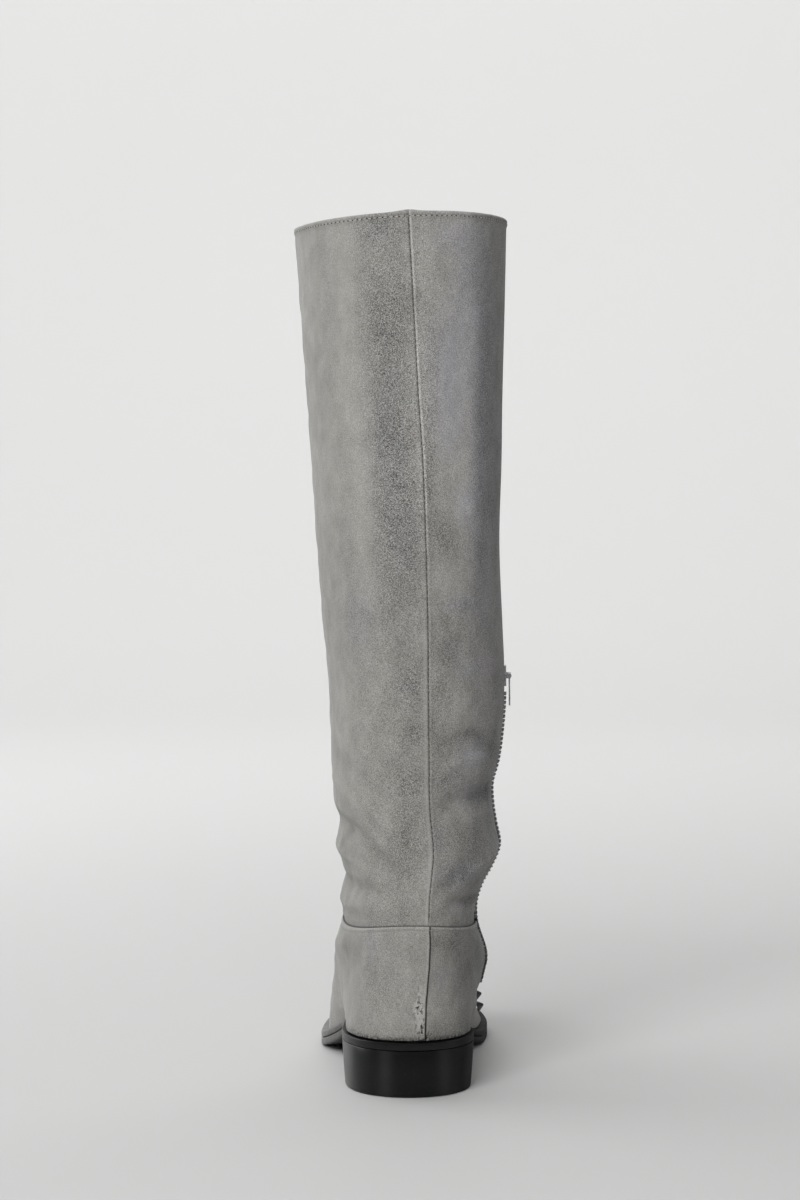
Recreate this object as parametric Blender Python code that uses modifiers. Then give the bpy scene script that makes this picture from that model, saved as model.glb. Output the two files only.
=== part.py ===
"""Tall suede riding boot, left foot, standing on its sole.

Metres, +Z up, +Y towards the toe, +X towards the medial side.
The origin is the middle of the heel's bottom face.
Tables are in millimetres, and stations run forward from the back of the sole.
"""

import math

import bmesh
import bpy
import numpy as np
from mathutils import Matrix, Vector

MM = 0.001
GAP = 0.3  # clearance between neighbouring pieces
HEEL_CENTRE = 31.0  # station of the origin

# Sole
SOLE_LENGTH = 268.0
HEEL_HEIGHT = 23.1
HEEL_BREAST = 60.0
HEEL_TAPER = 1.3  # inset of the heel's bottom edge
OUTSOLE_THICK = 3.7
WELT_THICK = 3.5
WELT_START = 76.0
WELT_FULL = 112.0
WELT_REACH = 12.0  # from the sole's edge inwards
BALL_BACK = 156.0
BALL_FRONT = 186.0
TOE_SPRING = 9.0
HEEL_RADIUS = 30.0
TOE_RADIUS = 26.0
TOE_SHIFT = 7.0  # the toe's swing to the medial side
TOE_SHIFT_START = 120.0
SOLE_OUTLINE = (
    # station, lateral, medial half-width
    (30.0, 31.8, 31.8),
    (62.0, 32.0, 29.8),
    (98.0, 31.8, 28.0),
    (148.0, 43.6, 42.3),
    (168.0, 43.7, 44.6),
    (205.0, 40.2, 41.6),
    (240.0, 28.4, 29.4),
)

# Upper and shaft
WALL = 2.0
FEATHER_INSET_HEEL = 2.3
FEATHER_INSET_FRONT = 3.8
INSOLE_THICK = 2.5
INSOLE_CLEARANCE = 2.6  # to the inside of the upper, at its bottom edge
UPPER_LIFT = 0.55  # the wall leans, so its inner edge hangs a little lower
LAP_GAP = 0.55  # between upper and shaft where the shaft tucks in by one ring of the upper
LAP_RAMP = 14.0  # height over which the shaft comes back out to the skin
STATION_BIAS = 2.7  # how much of a foot ring's extra length goes to its front
VAMP_SLIM = 0.20  # how much narrower the vamp's dome is than a straight blend
VAMP_SLIM_START = 0.8
QUARTER = 0.33  # where along a foot ring its sides bulge most
QUARTER_SPREAD = 0.20
COLLAR_TILT = 0.042  # rise of the collar towards the medial side
FOOT_ROWS = (
    # rise at back, rise at front, back station, front station, lateral bulge, medial bulge
    (0.00, 0.00, 2.3, 264.2, 0.0, 0.0),
    (0.13, 0.10, 1.4, 265.0, 3.4, 5.2),
    (0.26, 0.20, 1.2, 261.0, 4.2, 9.0),
    (0.39, 0.285, 1.6, 250.0, 4.7, 11.2),
    (0.52, 0.345, 2.6, 232.0, 5.1, 11.4),
    (0.64, 0.405, 4.0, 209.0, 5.4, 11.0),
    (0.76, 0.495, 5.6, 183.0, 5.5, 9.0),
    (0.88, 0.665, 7.1, 154.0, 4.6, 5.4),
    (1.00, 1.000, 8.5, 124.0, 0.0, 0.0),
)
SHAFT_ROWS = (
    # back height, side height, front height, back station, front station, lateral, medial
    (82.8, 79.3, 94.8, 8.5, 124.0, 32.4, 35.0),
    (90.8, 88.3, 103.7, 9.8, 120.0, 33.8, 34.8),
    (99.7, 98.2, 112.7, 11.2, 116.8, 32.0, 37.6),
    (109.2, 108.2, 121.7, 12.2, 114.6, 32.6, 43.0),
    (119.2, 118.2, 130.6, 12.6, 113.2, 35.4, 46.6),
    (128.6, 128.1, 138.6, 12.4, 112.2, 34.2, 44.8),
    (138.6, 138.1, 147.6, 11.8, 111.4, 36.4, 43.2),
    (149.5, 149.1, 156.5, 11.0, 110.8, 37.4, 42.8),
    (159.5, 159.0, 165.5, 10.0, 110.5, 37.9, 45.4),
    (170.5, 170.0, 175.5, 8.8, 110.4, 38.4, 47.2),
    (189.4, 188.9, 192.4, 6.6, 110.8, 39.0, 48.8),
    (209.3, 208.8, 211.3, 4.4, 111.4, 40.2, 48.8),
    (230.2, 229.7, 231.2, 2.2, 112.4, 42.4, 47.8),
    (270.1, 269.6, 270.1, -1.4, 115.0, 45.4, 46.2),
    (309.9, 309.4, 309.9, -4.4, 118.4, 48.0, 47.2),
    (341.8, 341.3, 341.8, -6.6, 121.4, 50.2, 47.6),
    (389.6, 389.1, 389.6, -9.2, 126.2, 53.6, 48.8),
    (429.1, 428.2, 430.0, -10.6, 130.4, 56.4, 49.6),
)
SEAM_ROW = len(FOOT_ROWS) - 1
COLLAR_ROW = SEAM_ROW + len(SHAFT_ROWS) - 1
COLUMNS = 22  # columns of faces on each side of the boot
UPPER_RINGS = 16
SHAFT_RINGS = 31

# Zip
ZIP_U = 1.521  # place round the boot, just behind the middle of the medial side
ZIP_BOTTOM_ROW = 2.85
ZIP_TOP_ROW = 19.05
ZIP_SLOT = 8.0
ZIP_STEPS = 22
TAPE_WIDTH = 18.0
TAPE_THICK = 0.8
TAPE_SLACK = 0.7  # room for the bend at the ankle
CHAIN_WIDTH = 5.4
CHAIN_RISE = 0.5
CHAIN_START_ROW = ZIP_BOTTOM_ROW + 0.12
CHAIN_TOP_ROW = 18.35
TAPE_ROWS = (ZIP_BOTTOM_ROW - 0.15, ZIP_TOP_ROW + 0.25)
SLIDER_ROW = 18.70
SLIDER_SIZE = (2.4, 7.0, 10.0)  # out from the tape, across, tall
SLIDER_LIFT = -0.4
EAR_SIZE = (2.4, 1.0, 2.4)
EAR_SPREAD = 2.95
EAR_ROOT = 0.2  # how deep an ear is set in the body
PIN_RADIUS = 0.45
PIN_OUT = 1.5
EYE_RADIUS = 1.15
EYE_BORE = 0.7
PULL_WIDTH = 4.2
PULL_THICK = 0.8
PULL_LENGTH = 14.0

# Vamp studs
STUD_COUNT = 9
STUD_RADIUS = 3.4
STUD_HEIGHT = 3.8
STUD_TIP = 0.5
STUD_SIDES = 12
STUD_LINE = (
    # place round the boot, row
    (1.295, 0.90),
    (1.335, 2.90),
    (1.290, 4.60),
    (1.180, 5.70),
    (1.000, 6.20),
    (0.820, 5.30),
    (0.750, 3.90),
    (0.715, 2.40),
)
STUD_LINE_STEPS = 200


def clear_scene():
    for obj in list(bpy.data.objects):
        bpy.data.objects.remove(obj, do_unlink=True)


def material(name, colour, roughness, metallic=0.0):
    mat = bpy.data.materials.new(name)
    mat.use_nodes = True
    shader = mat.node_tree.nodes["Principled BSDF"]
    shader.inputs["Base Color"].default_value = (*colour, 1.0)
    shader.inputs["Roughness"].default_value = roughness
    shader.inputs["Metallic"].default_value = metallic
    return mat


def smooth_through(xs, ys, at):
    """Values at `at` of a soft curve through the points of a table, without overshoot."""
    xs = np.asarray(xs, float)
    ys = np.asarray(ys, float)
    at = np.clip(np.asarray(at, float), xs[0], xs[-1])
    step = np.diff(xs)
    slope = np.diff(ys) / step
    tangent = np.empty_like(ys)
    tangent[0] = slope[0]
    tangent[-1] = slope[-1]
    tangent[1:-1] = (slope[:-1] * step[1:] + slope[1:] * step[:-1]) / (step[1:] + step[:-1])
    i = np.clip(np.searchsorted(xs, at, side="right") - 1, 0, len(step) - 1)
    h = step[i]
    t = (at - xs[i]) / h
    start = ys[i] * (1 + 2 * t) * (1 - t) ** 2 + tangent[i] * h * t * (1 - t) ** 2
    end = ys[i + 1] * t**2 * (3 - 2 * t) + tangent[i + 1] * h * t**2 * (t - 1)
    return start + end


def ease(t):
    t = np.clip(t, 0.0, 1.0)
    return t * t * (3 - 2 * t)


def oval(share):
    """Half-width of a unit oval at a share of its length."""
    return 2 * np.sqrt(np.clip(share * (1 - share), 0.0, None))


def column(rows, index):
    return [row[index] for row in rows]


def outline_factor(share, side, inset):
    """Half-width of the sole's outline, inset all round, over that of a unit oval."""
    length = SOLE_LENGTH - 2 * inset
    shares = [0.0] + [(station - inset) / length for station in column(SOLE_OUTLINE, 0)] + [1.0]
    widths = column(SOLE_OUTLINE, 1 if side == "lateral" else 2)
    heel = math.sqrt((HEEL_RADIUS - inset) * length / 2)
    toe = math.sqrt((TOE_RADIUS - inset) * length / 2)
    inner = [(width - inset) / oval(at) for width, at in zip(widths, shares[1:-1])]
    return smooth_through(shares, [heel] + inner + [toe], share)


def swing(station):
    """Sideways shift of the foot's middle line."""
    return TOE_SHIFT * ease((station - TOE_SHIFT_START) / (SOLE_LENGTH - TOE_SHIFT_START))


def tread_height(station):
    """Height of the sole's underside: heel seat, arch, ball and toe spring."""
    arch = HEEL_HEIGHT * (1 - ease((station - HEEL_BREAST) / (BALL_BACK - HEEL_BREAST)))
    toe = np.clip((station - BALL_FRONT) / (SOLE_LENGTH - BALL_FRONT), 0.0, 1.0)
    return arch + TOE_SPRING * toe**2


def welt_height(station):
    return WELT_THICK * ease((station - HEEL_BREAST) / (WELT_FULL - HEEL_BREAST))


def feather_height(station):
    """Height of the upper's bottom edge, above outsole and welt."""
    return tread_height(station) + OUTSOLE_THICK + welt_height(station) + GAP


def share_round(u):
    """Share of a ring's length at place u round the boot: 0 back, 1 front, 2 back again."""
    return (1 - np.cos(math.pi * u)) / 2


def sole_point(u, inset):
    """Station and sideways place of the sole's outline at place u."""
    share = share_round(u)
    station = inset + share * (SOLE_LENGTH - 2 * inset)
    lateral = outline_factor(share, "lateral", inset)
    medial = outline_factor(share, "medial", inset)
    x = oval(share) * np.where(u < 1, -lateral, medial)
    return x + swing(station), station


def foot_ring(row, u):
    """Points of the foot part's outer skin, rows 0 at the sole to SEAM_ROW at the ankle."""
    rows = range(len(FOOT_ROWS))
    rise_back, rise_front, back, front, bulge_lateral, bulge_medial = (
        smooth_through(rows, column(FOOT_ROWS, index), row) for index in range(6)
    )
    morph = row / SEAM_ROW
    share = share_round(u)
    ankle_back, ankle_front, ankle_lateral, ankle_medial = SHAFT_ROWS[0][3:]
    ankle_length = ankle_front - ankle_back
    station = back + ankle_length * share + (front - back - ankle_length) * share**STATION_BIAS
    along = np.clip((station - back) / (front - back), 0.0, 1.0)
    inset = FEATHER_INSET_HEEL + (FEATHER_INSET_FRONT - FEATHER_INSET_HEEL) * ease(2 * along)
    lateral = (1 - morph) * (outline_factor(along, "lateral", 0.0) - inset) + morph * ankle_lateral
    medial = (1 - morph) * (outline_factor(along, "medial", 0.0) - inset) + morph * ankle_medial
    slim = 1 - VAMP_SLIM * np.sin(math.pi * morph) * ease(2 * along - VAMP_SLIM_START)
    quarter = np.exp(-(((along - QUARTER) / QUARTER_SPREAD) ** 2)) * oval(along) ** 0.5
    lateral = oval(along) * lateral * slim + bulge_lateral * quarter
    medial = oval(along) * medial * slim + bulge_medial * quarter
    x = np.where(u < 1, -lateral, medial) + (1 - morph) * swing(station)
    rise = rise_back + (rise_front - rise_back) * ease(along)
    low = feather_height(station) + UPPER_LIFT
    return x, station, low + (ring_height(SHAFT_ROWS[0][:3], share) - low) * rise


def ring_height(heights, share):
    """Height along a ring, through its back, side and front heights."""
    back, side, front = heights
    bend = 2 * (back + front) - 4 * side
    return back + (front - back - bend) * share + bend * share**2


def shaft_ring(row, u):
    """Points of the shaft's skin, from SEAM_ROW up to COLLAR_ROW."""
    rows = range(SEAM_ROW, COLLAR_ROW + 1)
    back_z, side_z, front_z, back, front, lateral, medial = (
        smooth_through(rows, column(SHAFT_ROWS, index), row) for index in range(7)
    )
    share = share_round(u)
    station = back + (front - back) * share
    x = oval(share) * np.where(u < 1, -lateral, medial)
    z = ring_height((back_z, side_z, front_z), share)
    top = SHAFT_ROWS[-1][1]
    return x, station, z + COLLAR_TILT * x * np.clip(z / top, 0.0, 1.0) ** 4


def skin(row, u):
    """The boot's outer skin in metres, at a row up the boot and a place round it."""
    row, u = np.broadcast_arrays(np.asarray(row, float), np.asarray(u, float))
    u = np.mod(u, 2.0)
    foot = foot_ring(np.clip(row, 0, SEAM_ROW), u)
    shaft = shaft_ring(np.clip(row, SEAM_ROW, COLLAR_ROW), u)
    x, station, z = (np.where(row < SEAM_ROW, a, b) for a, b in zip(foot, shaft))
    return np.stack([x, station - HEEL_CENTRE, z], axis=-1) * MM


def skin_normal(row, u):
    """Unit vectors pointing out of the skin."""
    step = 0.004
    up = skin(np.minimum(row + step, COLLAR_ROW), u) - skin(np.maximum(row - step, 0), u)
    round_ = skin(row, u + step) - skin(row, u - step)
    normal = np.cross(up, round_)
    return normal / np.linalg.norm(normal, axis=-1, keepdims=True)


def skin_offset(row, u, out):
    """Points at a distance (in millimetres) out from the skin."""
    return skin(row, u) + skin_normal(row, u) * (np.asarray(out) * MM)[..., None]


def zip_reach(row, width):
    """Half of a width across the zip, as a step round the boot."""
    step = 0.01
    speed = np.linalg.norm(skin(row, ZIP_U + step) - skin(row, ZIP_U - step), axis=-1) / (2 * step)
    return width * MM / 2 / speed


def grid_columns(rows):
    """Places round the boot for each row, with two columns on the edges of the zip's slot."""
    base = np.linspace(0.0, 2.0, 2 * COLUMNS, endpoint=False)
    places = np.repeat(base[None, :], len(rows), axis=0)
    front_edge = int(np.searchsorted(base, ZIP_U)) - 1
    reach = zip_reach(np.asarray(rows), ZIP_SLOT)
    places[:, front_edge] = ZIP_U - reach
    places[:, front_edge + 1] = ZIP_U + reach
    return places, front_edge


def add_object(name, mesh, mat, collection, smooth_angle=None):
    obj = bpy.data.objects.new(name, mesh)
    mesh.materials.append(mat)
    collection.objects.link(obj)
    if smooth_angle is not None:
        mesh.shade_smooth()
        mesh.set_sharp_from_angle(angle=math.radians(smooth_angle))
    return obj


def mesh_from(name, points, faces):
    mesh = bpy.data.meshes.new(name)
    mesh.from_pydata([tuple(p) for p in points], [], faces)
    work = bmesh.new()
    work.from_mesh(mesh)
    bmesh.ops.recalc_face_normals(work, faces=work.faces)
    work.to_mesh(mesh)
    work.free()
    return mesh


def shell(name, rows, outs, slot, mat, collection):
    """A hollow tube of leather through rings, with the zip's slot left open between two rows."""
    rows = np.asarray(rows)
    places, edge = grid_columns(rows)
    count = places.shape[1]
    row_grid = np.repeat(rows[:, None], count, axis=1)
    out_grid = np.repeat(outs[:, None], count, axis=1)
    points = skin_offset(row_grid, places, out_grid)
    faces = []
    for i in range(len(rows) - 1):
        middle = (rows[i] + rows[i + 1]) / 2
        for j in range(count):
            if j == edge and slot[0] < middle < slot[1]:
                continue
            k = (j + 1) % count
            faces.append((i * count + j, (i + 1) * count + j, (i + 1) * count + k, i * count + k))
    mesh = bpy.data.meshes.new(name)
    mesh.from_pydata([tuple(p) for p in points.reshape(-1, 3)], [], faces)
    obj = add_object(name, mesh, mat, collection, smooth_angle=50)
    wall = obj.modifiers.new("wall", "SOLIDIFY")
    wall.thickness = WALL * MM
    wall.offset = -1.0
    wall.use_even_offset = True
    return obj


def rows_with(rows, extra):
    """A list of rows with the nearest inner one moved onto a row that has to be met."""
    rows = np.array(rows)
    rows[1 + np.argmin(np.abs(rows[1:-1] - extra))] = extra
    return np.sort(rows)


def make_upper(collection):
    suede = material("upper suede", (0.24, 0.235, 0.225), 0.9)
    rows = rows_with(np.linspace(0, SEAM_ROW, UPPER_RINGS), ZIP_BOTTOM_ROW)
    shell("upper", rows, 0 * rows, (ZIP_BOTTOM_ROW, SEAM_ROW), suede, collection)


def make_shaft(collection):
    """The leg, whose foot tucks inside the upper and comes out to the skin above the ankle seam."""
    suede = material("shaft suede", (0.25, 0.245, 0.235), 0.9)
    heights = column(SHAFT_ROWS, 1)
    seam = heights[0]
    lap_row = SEAM_ROW * (1 - 1 / (UPPER_RINGS - 1))
    rows = np.concatenate([[lap_row], np.linspace(SEAM_ROW, COLLAR_ROW, SHAFT_RINGS)])
    rows = rows_with(rows, ZIP_TOP_ROW)
    above = smooth_through(range(SEAM_ROW, COLLAR_ROW + 1), heights, rows) - seam
    outs = -(WALL + LAP_GAP) * (1 - ease(above / LAP_RAMP))
    shell("shaft", rows, outs, (0, ZIP_TOP_ROW), suede, collection)


def plate(name, inset, bottom, top, mat, collection, steps=30):
    """A flat layer of the sole's outline between two heights that follow the station."""
    places = np.linspace(0, 1, steps + 1)
    lateral = [sole_point(np.array(u), inset) for u in places]
    medial = [sole_point(np.array(2.0 - u), inset) for u in places[1:-1]]
    edge = lateral + medial[::-1]
    points = []
    for height in (bottom, top):
        points += [(x * MM, (s - HEEL_CENTRE) * MM, float(height(s)) * MM) for x, s in edge]
    count = len(edge)
    faces = [(i, (i + 1) % count, count + (i + 1) % count, count + i) for i in range(count)]
    for base in (0, count):
        faces.append((base, base + 1, base + count - 1))
        faces.append((base + steps, base + steps + 1, base + steps - 1))
        for i in range(1, steps - 1):
            faces.append((base + i, base + i + 1, base + count - i - 1, base + count - i))
    return add_object(name, mesh_from(name, points, faces), mat, collection, smooth_angle=40)


def make_outsole(collection):
    black = material("polished sole", (0.012, 0.012, 0.013), 0.3)
    top = lambda station: tread_height(station) + OUTSOLE_THICK
    plate("outsole", 0.0, tread_height, top, black, collection, steps=36)


def make_insole(collection):
    leather = material("insole leather", (0.32, 0.25, 0.18), 0.7)
    inset = FEATHER_INSET_FRONT + WALL + INSOLE_CLEARANCE
    top = lambda station: feather_height(station) + INSOLE_THICK
    plate("insole", inset, feather_height, top, leather, collection)


def make_welt(collection):
    """The strip round the forefoot between outsole and upper, thinning out at the waist."""
    black = material("polished welt", (0.014, 0.014, 0.015), 0.32)
    first = math.acos(1 - 2 * WELT_START / SOLE_LENGTH) / math.pi
    places = np.linspace(first, 2.0 - first, 60)
    points = []
    for u in places:
        outer_x, outer_s = sole_point(u, 0.0)
        inner_x, inner_s = sole_point(u, WELT_REACH)
        for x, s in ((outer_x, outer_s), (inner_x, inner_s)):
            low = tread_height(s) + OUTSOLE_THICK + GAP
            high = feather_height(s) - GAP
            points.append((x * MM, (s - HEEL_CENTRE) * MM, low * MM))
            points.append((x * MM, (s - HEEL_CENTRE) * MM, high * MM))
    faces = [(0, 1, 3, 2)]
    ring = (0, 1, 3, 2)
    for i in range(len(places) - 1):
        for a, b in zip(ring, ring[1:] + ring[:1]):
            faces.append((4 * i + a, 4 * i + b, 4 * i + 4 + b, 4 * i + 4 + a))
    last = 4 * (len(places) - 1)
    faces.append(tuple(last + corner for corner in ring))
    add_object("welt", mesh_from("welt", points, faces), black, collection, smooth_angle=40)


def make_heel(collection):
    """The block heel: the sole's outline back of the breast, tapered a little to the floor."""
    black = material("polished heel", (0.011, 0.011, 0.012), 0.22)
    first = math.acos(1 - 2 * HEEL_BREAST / SOLE_LENGTH) / math.pi
    places = np.linspace(-first, first, 41)
    rim = []
    for u in places:
        x, s = sole_point(np.mod(np.array(u), 2.0), 0.0)
        rim.append((float(x), float(s)))
    centre = HEEL_CENTRE
    shrink = 1 - HEEL_TAPER / HEEL_RADIUS
    points = [(x * shrink * MM, (s - centre) * shrink * MM, 0.0) for x, s in rim]
    points += [(x * MM, (s - centre) * MM, (HEEL_HEIGHT - GAP) * MM) for x, s in rim]
    count = len(rim)
    faces = [(i, (i + 1) % count, count + (i + 1) % count, count + i) for i in range(count)]
    faces.append(tuple(range(count)))
    faces.append(tuple(range(count, 2 * count)))
    add_object("heel", mesh_from("heel", points, faces), black, collection, smooth_angle=40)


def strip(name, rows, width, out_low, out_high, mat, collection, across=3):
    """A flat strip along the zip between two distances from the skin."""
    rows = np.asarray(rows)
    shares = np.linspace(-1, 1, across)
    reach = zip_reach(rows, width)
    places = ZIP_U + reach[:, None] * shares[None, :]
    grid = np.repeat(rows[:, None], across, axis=1)
    layers = [skin_offset(grid, places, out + 0 * places).reshape(-1, 3) for out in (out_low, out_high)]
    points = np.concatenate(layers)
    half = len(rows) * across
    faces = []
    for i in range(len(rows) - 1):
        for j in range(across - 1):
            a = i * across + j
            quad = (a, a + 1, a + across + 1, a + across)
            faces.append(quad)
            faces.append(tuple(half + corner for corner in quad))
    rim = [j for j in range(across)]
    rim += [i * across + across - 1 for i in range(1, len(rows))]
    rim += [(len(rows) - 1) * across + j for j in range(across - 2, -1, -1)]
    rim += [i * across for i in range(len(rows) - 2, 0, -1)]
    for a, b in zip(rim, rim[1:] + rim[:1]):
        faces.append((a, b, half + b, half + a))
    return add_object(name, mesh_from(name, points, faces), mat, collection, smooth_angle=40)


def make_zip_bands(collection):
    cloth = material("zip tape cloth", (0.02, 0.02, 0.022), 0.85)
    metal = material("zip chain metal", (0.06, 0.06, 0.065), 0.4, 0.8)
    behind = -2 * (WALL + GAP) - TAPE_SLACK  # inside the shaft where it is tucked into the upper
    rows = np.linspace(*TAPE_ROWS, ZIP_STEPS)
    strip("zip_tape", rows, TAPE_WIDTH, behind - TAPE_THICK - GAP, behind - GAP, cloth, collection)
    rows = np.linspace(CHAIN_START_ROW, CHAIN_TOP_ROW, 2 * ZIP_STEPS)
    strip("zip_chain", rows, CHAIN_WIDTH, behind + GAP, CHAIN_RISE, metal, collection)


def slider_frame():
    """Matrix at the slider on the skin: X out, Y across towards the toe, Z up the zip."""
    row = np.array(SLIDER_ROW)
    out = Vector(skin_normal(row, np.array(ZIP_U)))
    up = Vector(skin(row + 0.05, np.array(ZIP_U)) - skin(row - 0.05, np.array(ZIP_U)))
    up = (up - out * up.dot(out)).normalized()
    across = up.cross(out)
    frame = Matrix((out, across, up)).transposed().to_4x4()
    frame.translation = Vector(skin(row, np.array(ZIP_U)))
    return frame


def box_mesh(work, size, centre):
    made = bmesh.ops.create_cube(work, size=1.0)
    for vert in made["verts"]:
        vert.co = Vector(c * MM + v * s * MM for c, v, s in zip(centre, vert.co, size))


def rod_mesh(work, radius, length, centre, sides=16):
    turn = Matrix.Rotation(math.pi / 2, 4, "X")
    place = Matrix.Translation(Vector(centre) * MM) @ turn
    bmesh.ops.create_cone(work, cap_ends=True, segments=sides, radius1=radius * MM, radius2=radius * MM,
                          depth=length * MM, matrix=place)


def solid(name, build, mat, collection):
    work = bmesh.new()
    build(work)
    mesh = bpy.data.meshes.new(name)
    work.to_mesh(mesh)
    work.free()
    return add_object(name, mesh, mat, collection, smooth_angle=35)


def cutter(name, build, cutters):
    helper = solid(name, build, material(name, (1.0, 0.0, 0.0), 0.5), cutters)
    helper.hide_render = True
    helper.display_type = "WIRE"
    return helper


def combine(obj, other, operation):
    mod = obj.modifiers.new(other.name, "BOOLEAN")
    mod.operation = operation
    mod.object = other
    mod.solver = "EXACT"


def make_slider(collection, cutters, frame):
    """The slider's body on the chain, with two ears that carry the pull's pin."""
    metal = material("slider metal", (0.10, 0.10, 0.105), 0.3, 0.9)
    body = solid("zip_slider", lambda w: box_mesh(w, SLIDER_SIZE, (SLIDER_LIFT, 0, 0)), metal, collection)
    body.matrix_world = frame
    front = SLIDER_LIFT + SLIDER_SIZE[0] / 2
    pin_out = front + PIN_OUT
    for sign, word in ((-1, "rear"), (1, "front")):
        centre = (front + EAR_SIZE[0] / 2 - EAR_ROOT, sign * EAR_SPREAD, 0)
        ear = cutter("ear " + word, lambda w, c=centre: box_mesh(w, EAR_SIZE, c), cutters)
        ear.matrix_world = frame
        combine(body, ear, "UNION")
    pin = cutter("pin", lambda w: rod_mesh(w, PIN_RADIUS, 2 * EAR_SPREAD, (pin_out, 0, 0)), cutters)
    pin.matrix_world = frame
    combine(body, pin, "UNION")
    return pin_out


def make_pull(collection, cutters, frame, pin_out):
    """The pull tab, hanging from the pin; its own origin lies on the pin's axis."""
    metal = material("pull metal", (0.12, 0.12, 0.125), 0.3, 0.9)
    hinge = frame @ Matrix.Translation(Vector((pin_out * MM, 0, 0)))
    pull = solid("zip_pull", lambda w: rod_mesh(w, EYE_RADIUS, PULL_WIDTH, (0, 0, 0), 20), metal, collection)
    pull.matrix_world = hinge
    middle = -((EYE_BORE + EYE_RADIUS) / 2 + PULL_LENGTH / 2)
    size = (PULL_THICK, PULL_WIDTH, PULL_LENGTH)
    tab = cutter("tab", lambda w: box_mesh(w, size, (0, 0, middle)), cutters)
    tab.matrix_world = hinge
    combine(pull, tab, "UNION")
    bore = cutter("bore", lambda w: rod_mesh(w, EYE_BORE, 2 * PULL_WIDTH, (0, 0, 0), 20), cutters)
    bore.matrix_world = hinge
    combine(pull, bore, "DIFFERENCE")


def stud_seats():
    """Rows and places of the studs, evenly spaced along their line over the vamp."""
    at = np.linspace(0, len(STUD_LINE) - 1, STUD_LINE_STEPS)
    places = smooth_through(range(len(STUD_LINE)), column(STUD_LINE, 0), at)
    rows = smooth_through(range(len(STUD_LINE)), column(STUD_LINE, 1), at)
    steps = np.linalg.norm(np.diff(skin(rows, places), axis=0), axis=1)
    run = np.concatenate([[0.0], np.cumsum(steps)])
    wanted = np.linspace(0, run[-1], STUD_COUNT)
    return np.interp(wanted, run, rows), np.interp(wanted, run, places)


def make_studs(collection):
    """A line of pointed studs across the vamp, low on the medial side and further forward laterally."""
    metal = material("stud metal", (0.05, 0.05, 0.055), 0.35, 0.9)
    for number, (row, place) in enumerate(zip(*stud_seats()), start=1):
        normal = Vector(skin_normal(row, place))
        seat = Vector(skin(row, place)) + normal * (GAP + STUD_HEIGHT / 2) * MM
        stud = solid(f"vamp_stud_{number}", lambda w: bmesh.ops.create_cone(
            w, cap_ends=True, segments=STUD_SIDES, radius1=STUD_RADIUS * MM, radius2=STUD_TIP * MM,
            depth=STUD_HEIGHT * MM), metal, collection)
        stud.matrix_world = Matrix.Translation(seat) @ normal.to_track_quat("Z", "Y").to_matrix().to_4x4()


def main():
    clear_scene()
    boot = bpy.data.collections.new("suede boot")
    cutters = bpy.data.collections.new("cutters")
    bpy.context.scene.collection.children.link(boot)
    bpy.context.scene.collection.children.link(cutters)
    make_heel(boot)
    make_outsole(boot)
    make_welt(boot)
    make_insole(boot)
    make_upper(boot)
    make_shaft(boot)
    make_zip_bands(boot)
    frame = slider_frame()
    pin_out = make_slider(boot, cutters, frame)
    make_pull(boot, cutters, frame, pin_out)
    make_studs(boot)


main()
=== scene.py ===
"""Looks of a tall grey suede riding boot, left foot, on a pale studio floor.

Metres, +Z up, +Y towards the toe, +X towards the medial side.
Tables are in millimetres, and stations run forward from the back of the sole.
A place on the leather is (row, u): row 0 at the sole, 8 at the ankle seam and 25 at the collar;
u 0 at the back, 0.5 in the middle of the lateral side, 1 at the front and -0.5 on the medial side.
"""

import math

import bmesh
import bpy
import numpy as np
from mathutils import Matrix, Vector


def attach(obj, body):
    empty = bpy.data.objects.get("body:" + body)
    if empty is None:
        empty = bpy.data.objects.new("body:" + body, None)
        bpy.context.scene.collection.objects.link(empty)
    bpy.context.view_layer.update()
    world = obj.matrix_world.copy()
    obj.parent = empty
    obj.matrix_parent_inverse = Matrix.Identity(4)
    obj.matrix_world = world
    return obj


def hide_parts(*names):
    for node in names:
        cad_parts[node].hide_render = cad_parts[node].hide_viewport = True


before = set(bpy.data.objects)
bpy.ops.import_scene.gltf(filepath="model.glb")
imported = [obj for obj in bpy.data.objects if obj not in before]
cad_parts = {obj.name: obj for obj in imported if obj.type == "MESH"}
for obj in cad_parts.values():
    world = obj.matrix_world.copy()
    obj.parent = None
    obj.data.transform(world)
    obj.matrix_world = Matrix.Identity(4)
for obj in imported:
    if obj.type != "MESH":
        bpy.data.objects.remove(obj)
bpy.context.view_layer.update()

MM = 0.001
GAP = 0.3
HEEL_CENTRE = 31.0

# Sole, the same sizes as the solids
SOLE_LENGTH = 268.0
HEEL_HEIGHT = 23.1
HEEL_BREAST = 60.0
HEEL_TAPER = 1.3
OUTSOLE_THICK = 3.7
WELT_THICK = 3.5
WELT_START = 76.0
WELT_FULL = 112.0
WELT_REACH = 12.0
BALL_BACK = 156.0
BALL_FRONT = 186.0
TOE_SPRING = 9.0
HEEL_RADIUS = 30.0
TOE_RADIUS = 26.0
TOE_SHIFT = 7.0
TOE_SHIFT_START = 120.0
SOLE_OUTLINE = (
    # station, lateral, medial half-width
    (30.0, 31.8, 31.8),
    (62.0, 32.0, 29.8),
    (98.0, 31.8, 28.0),
    (148.0, 43.6, 42.3),
    (168.0, 43.7, 44.6),
    (205.0, 40.2, 41.6),
    (240.0, 28.4, 29.4),
)
SOLE_STEPS = 130
HEEL_STEPS = 121
EDGE_RADIUS = 0.9  # rounding of the sole layers' edges
SEAT_RADIUS = 0.35  # the same round the heel seat
EDGE_STEPS = 4
HEEL_EDGE = 0.7
HEEL_WAIST = 0.42  # share of the taper that is left at half the heel's height
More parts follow.
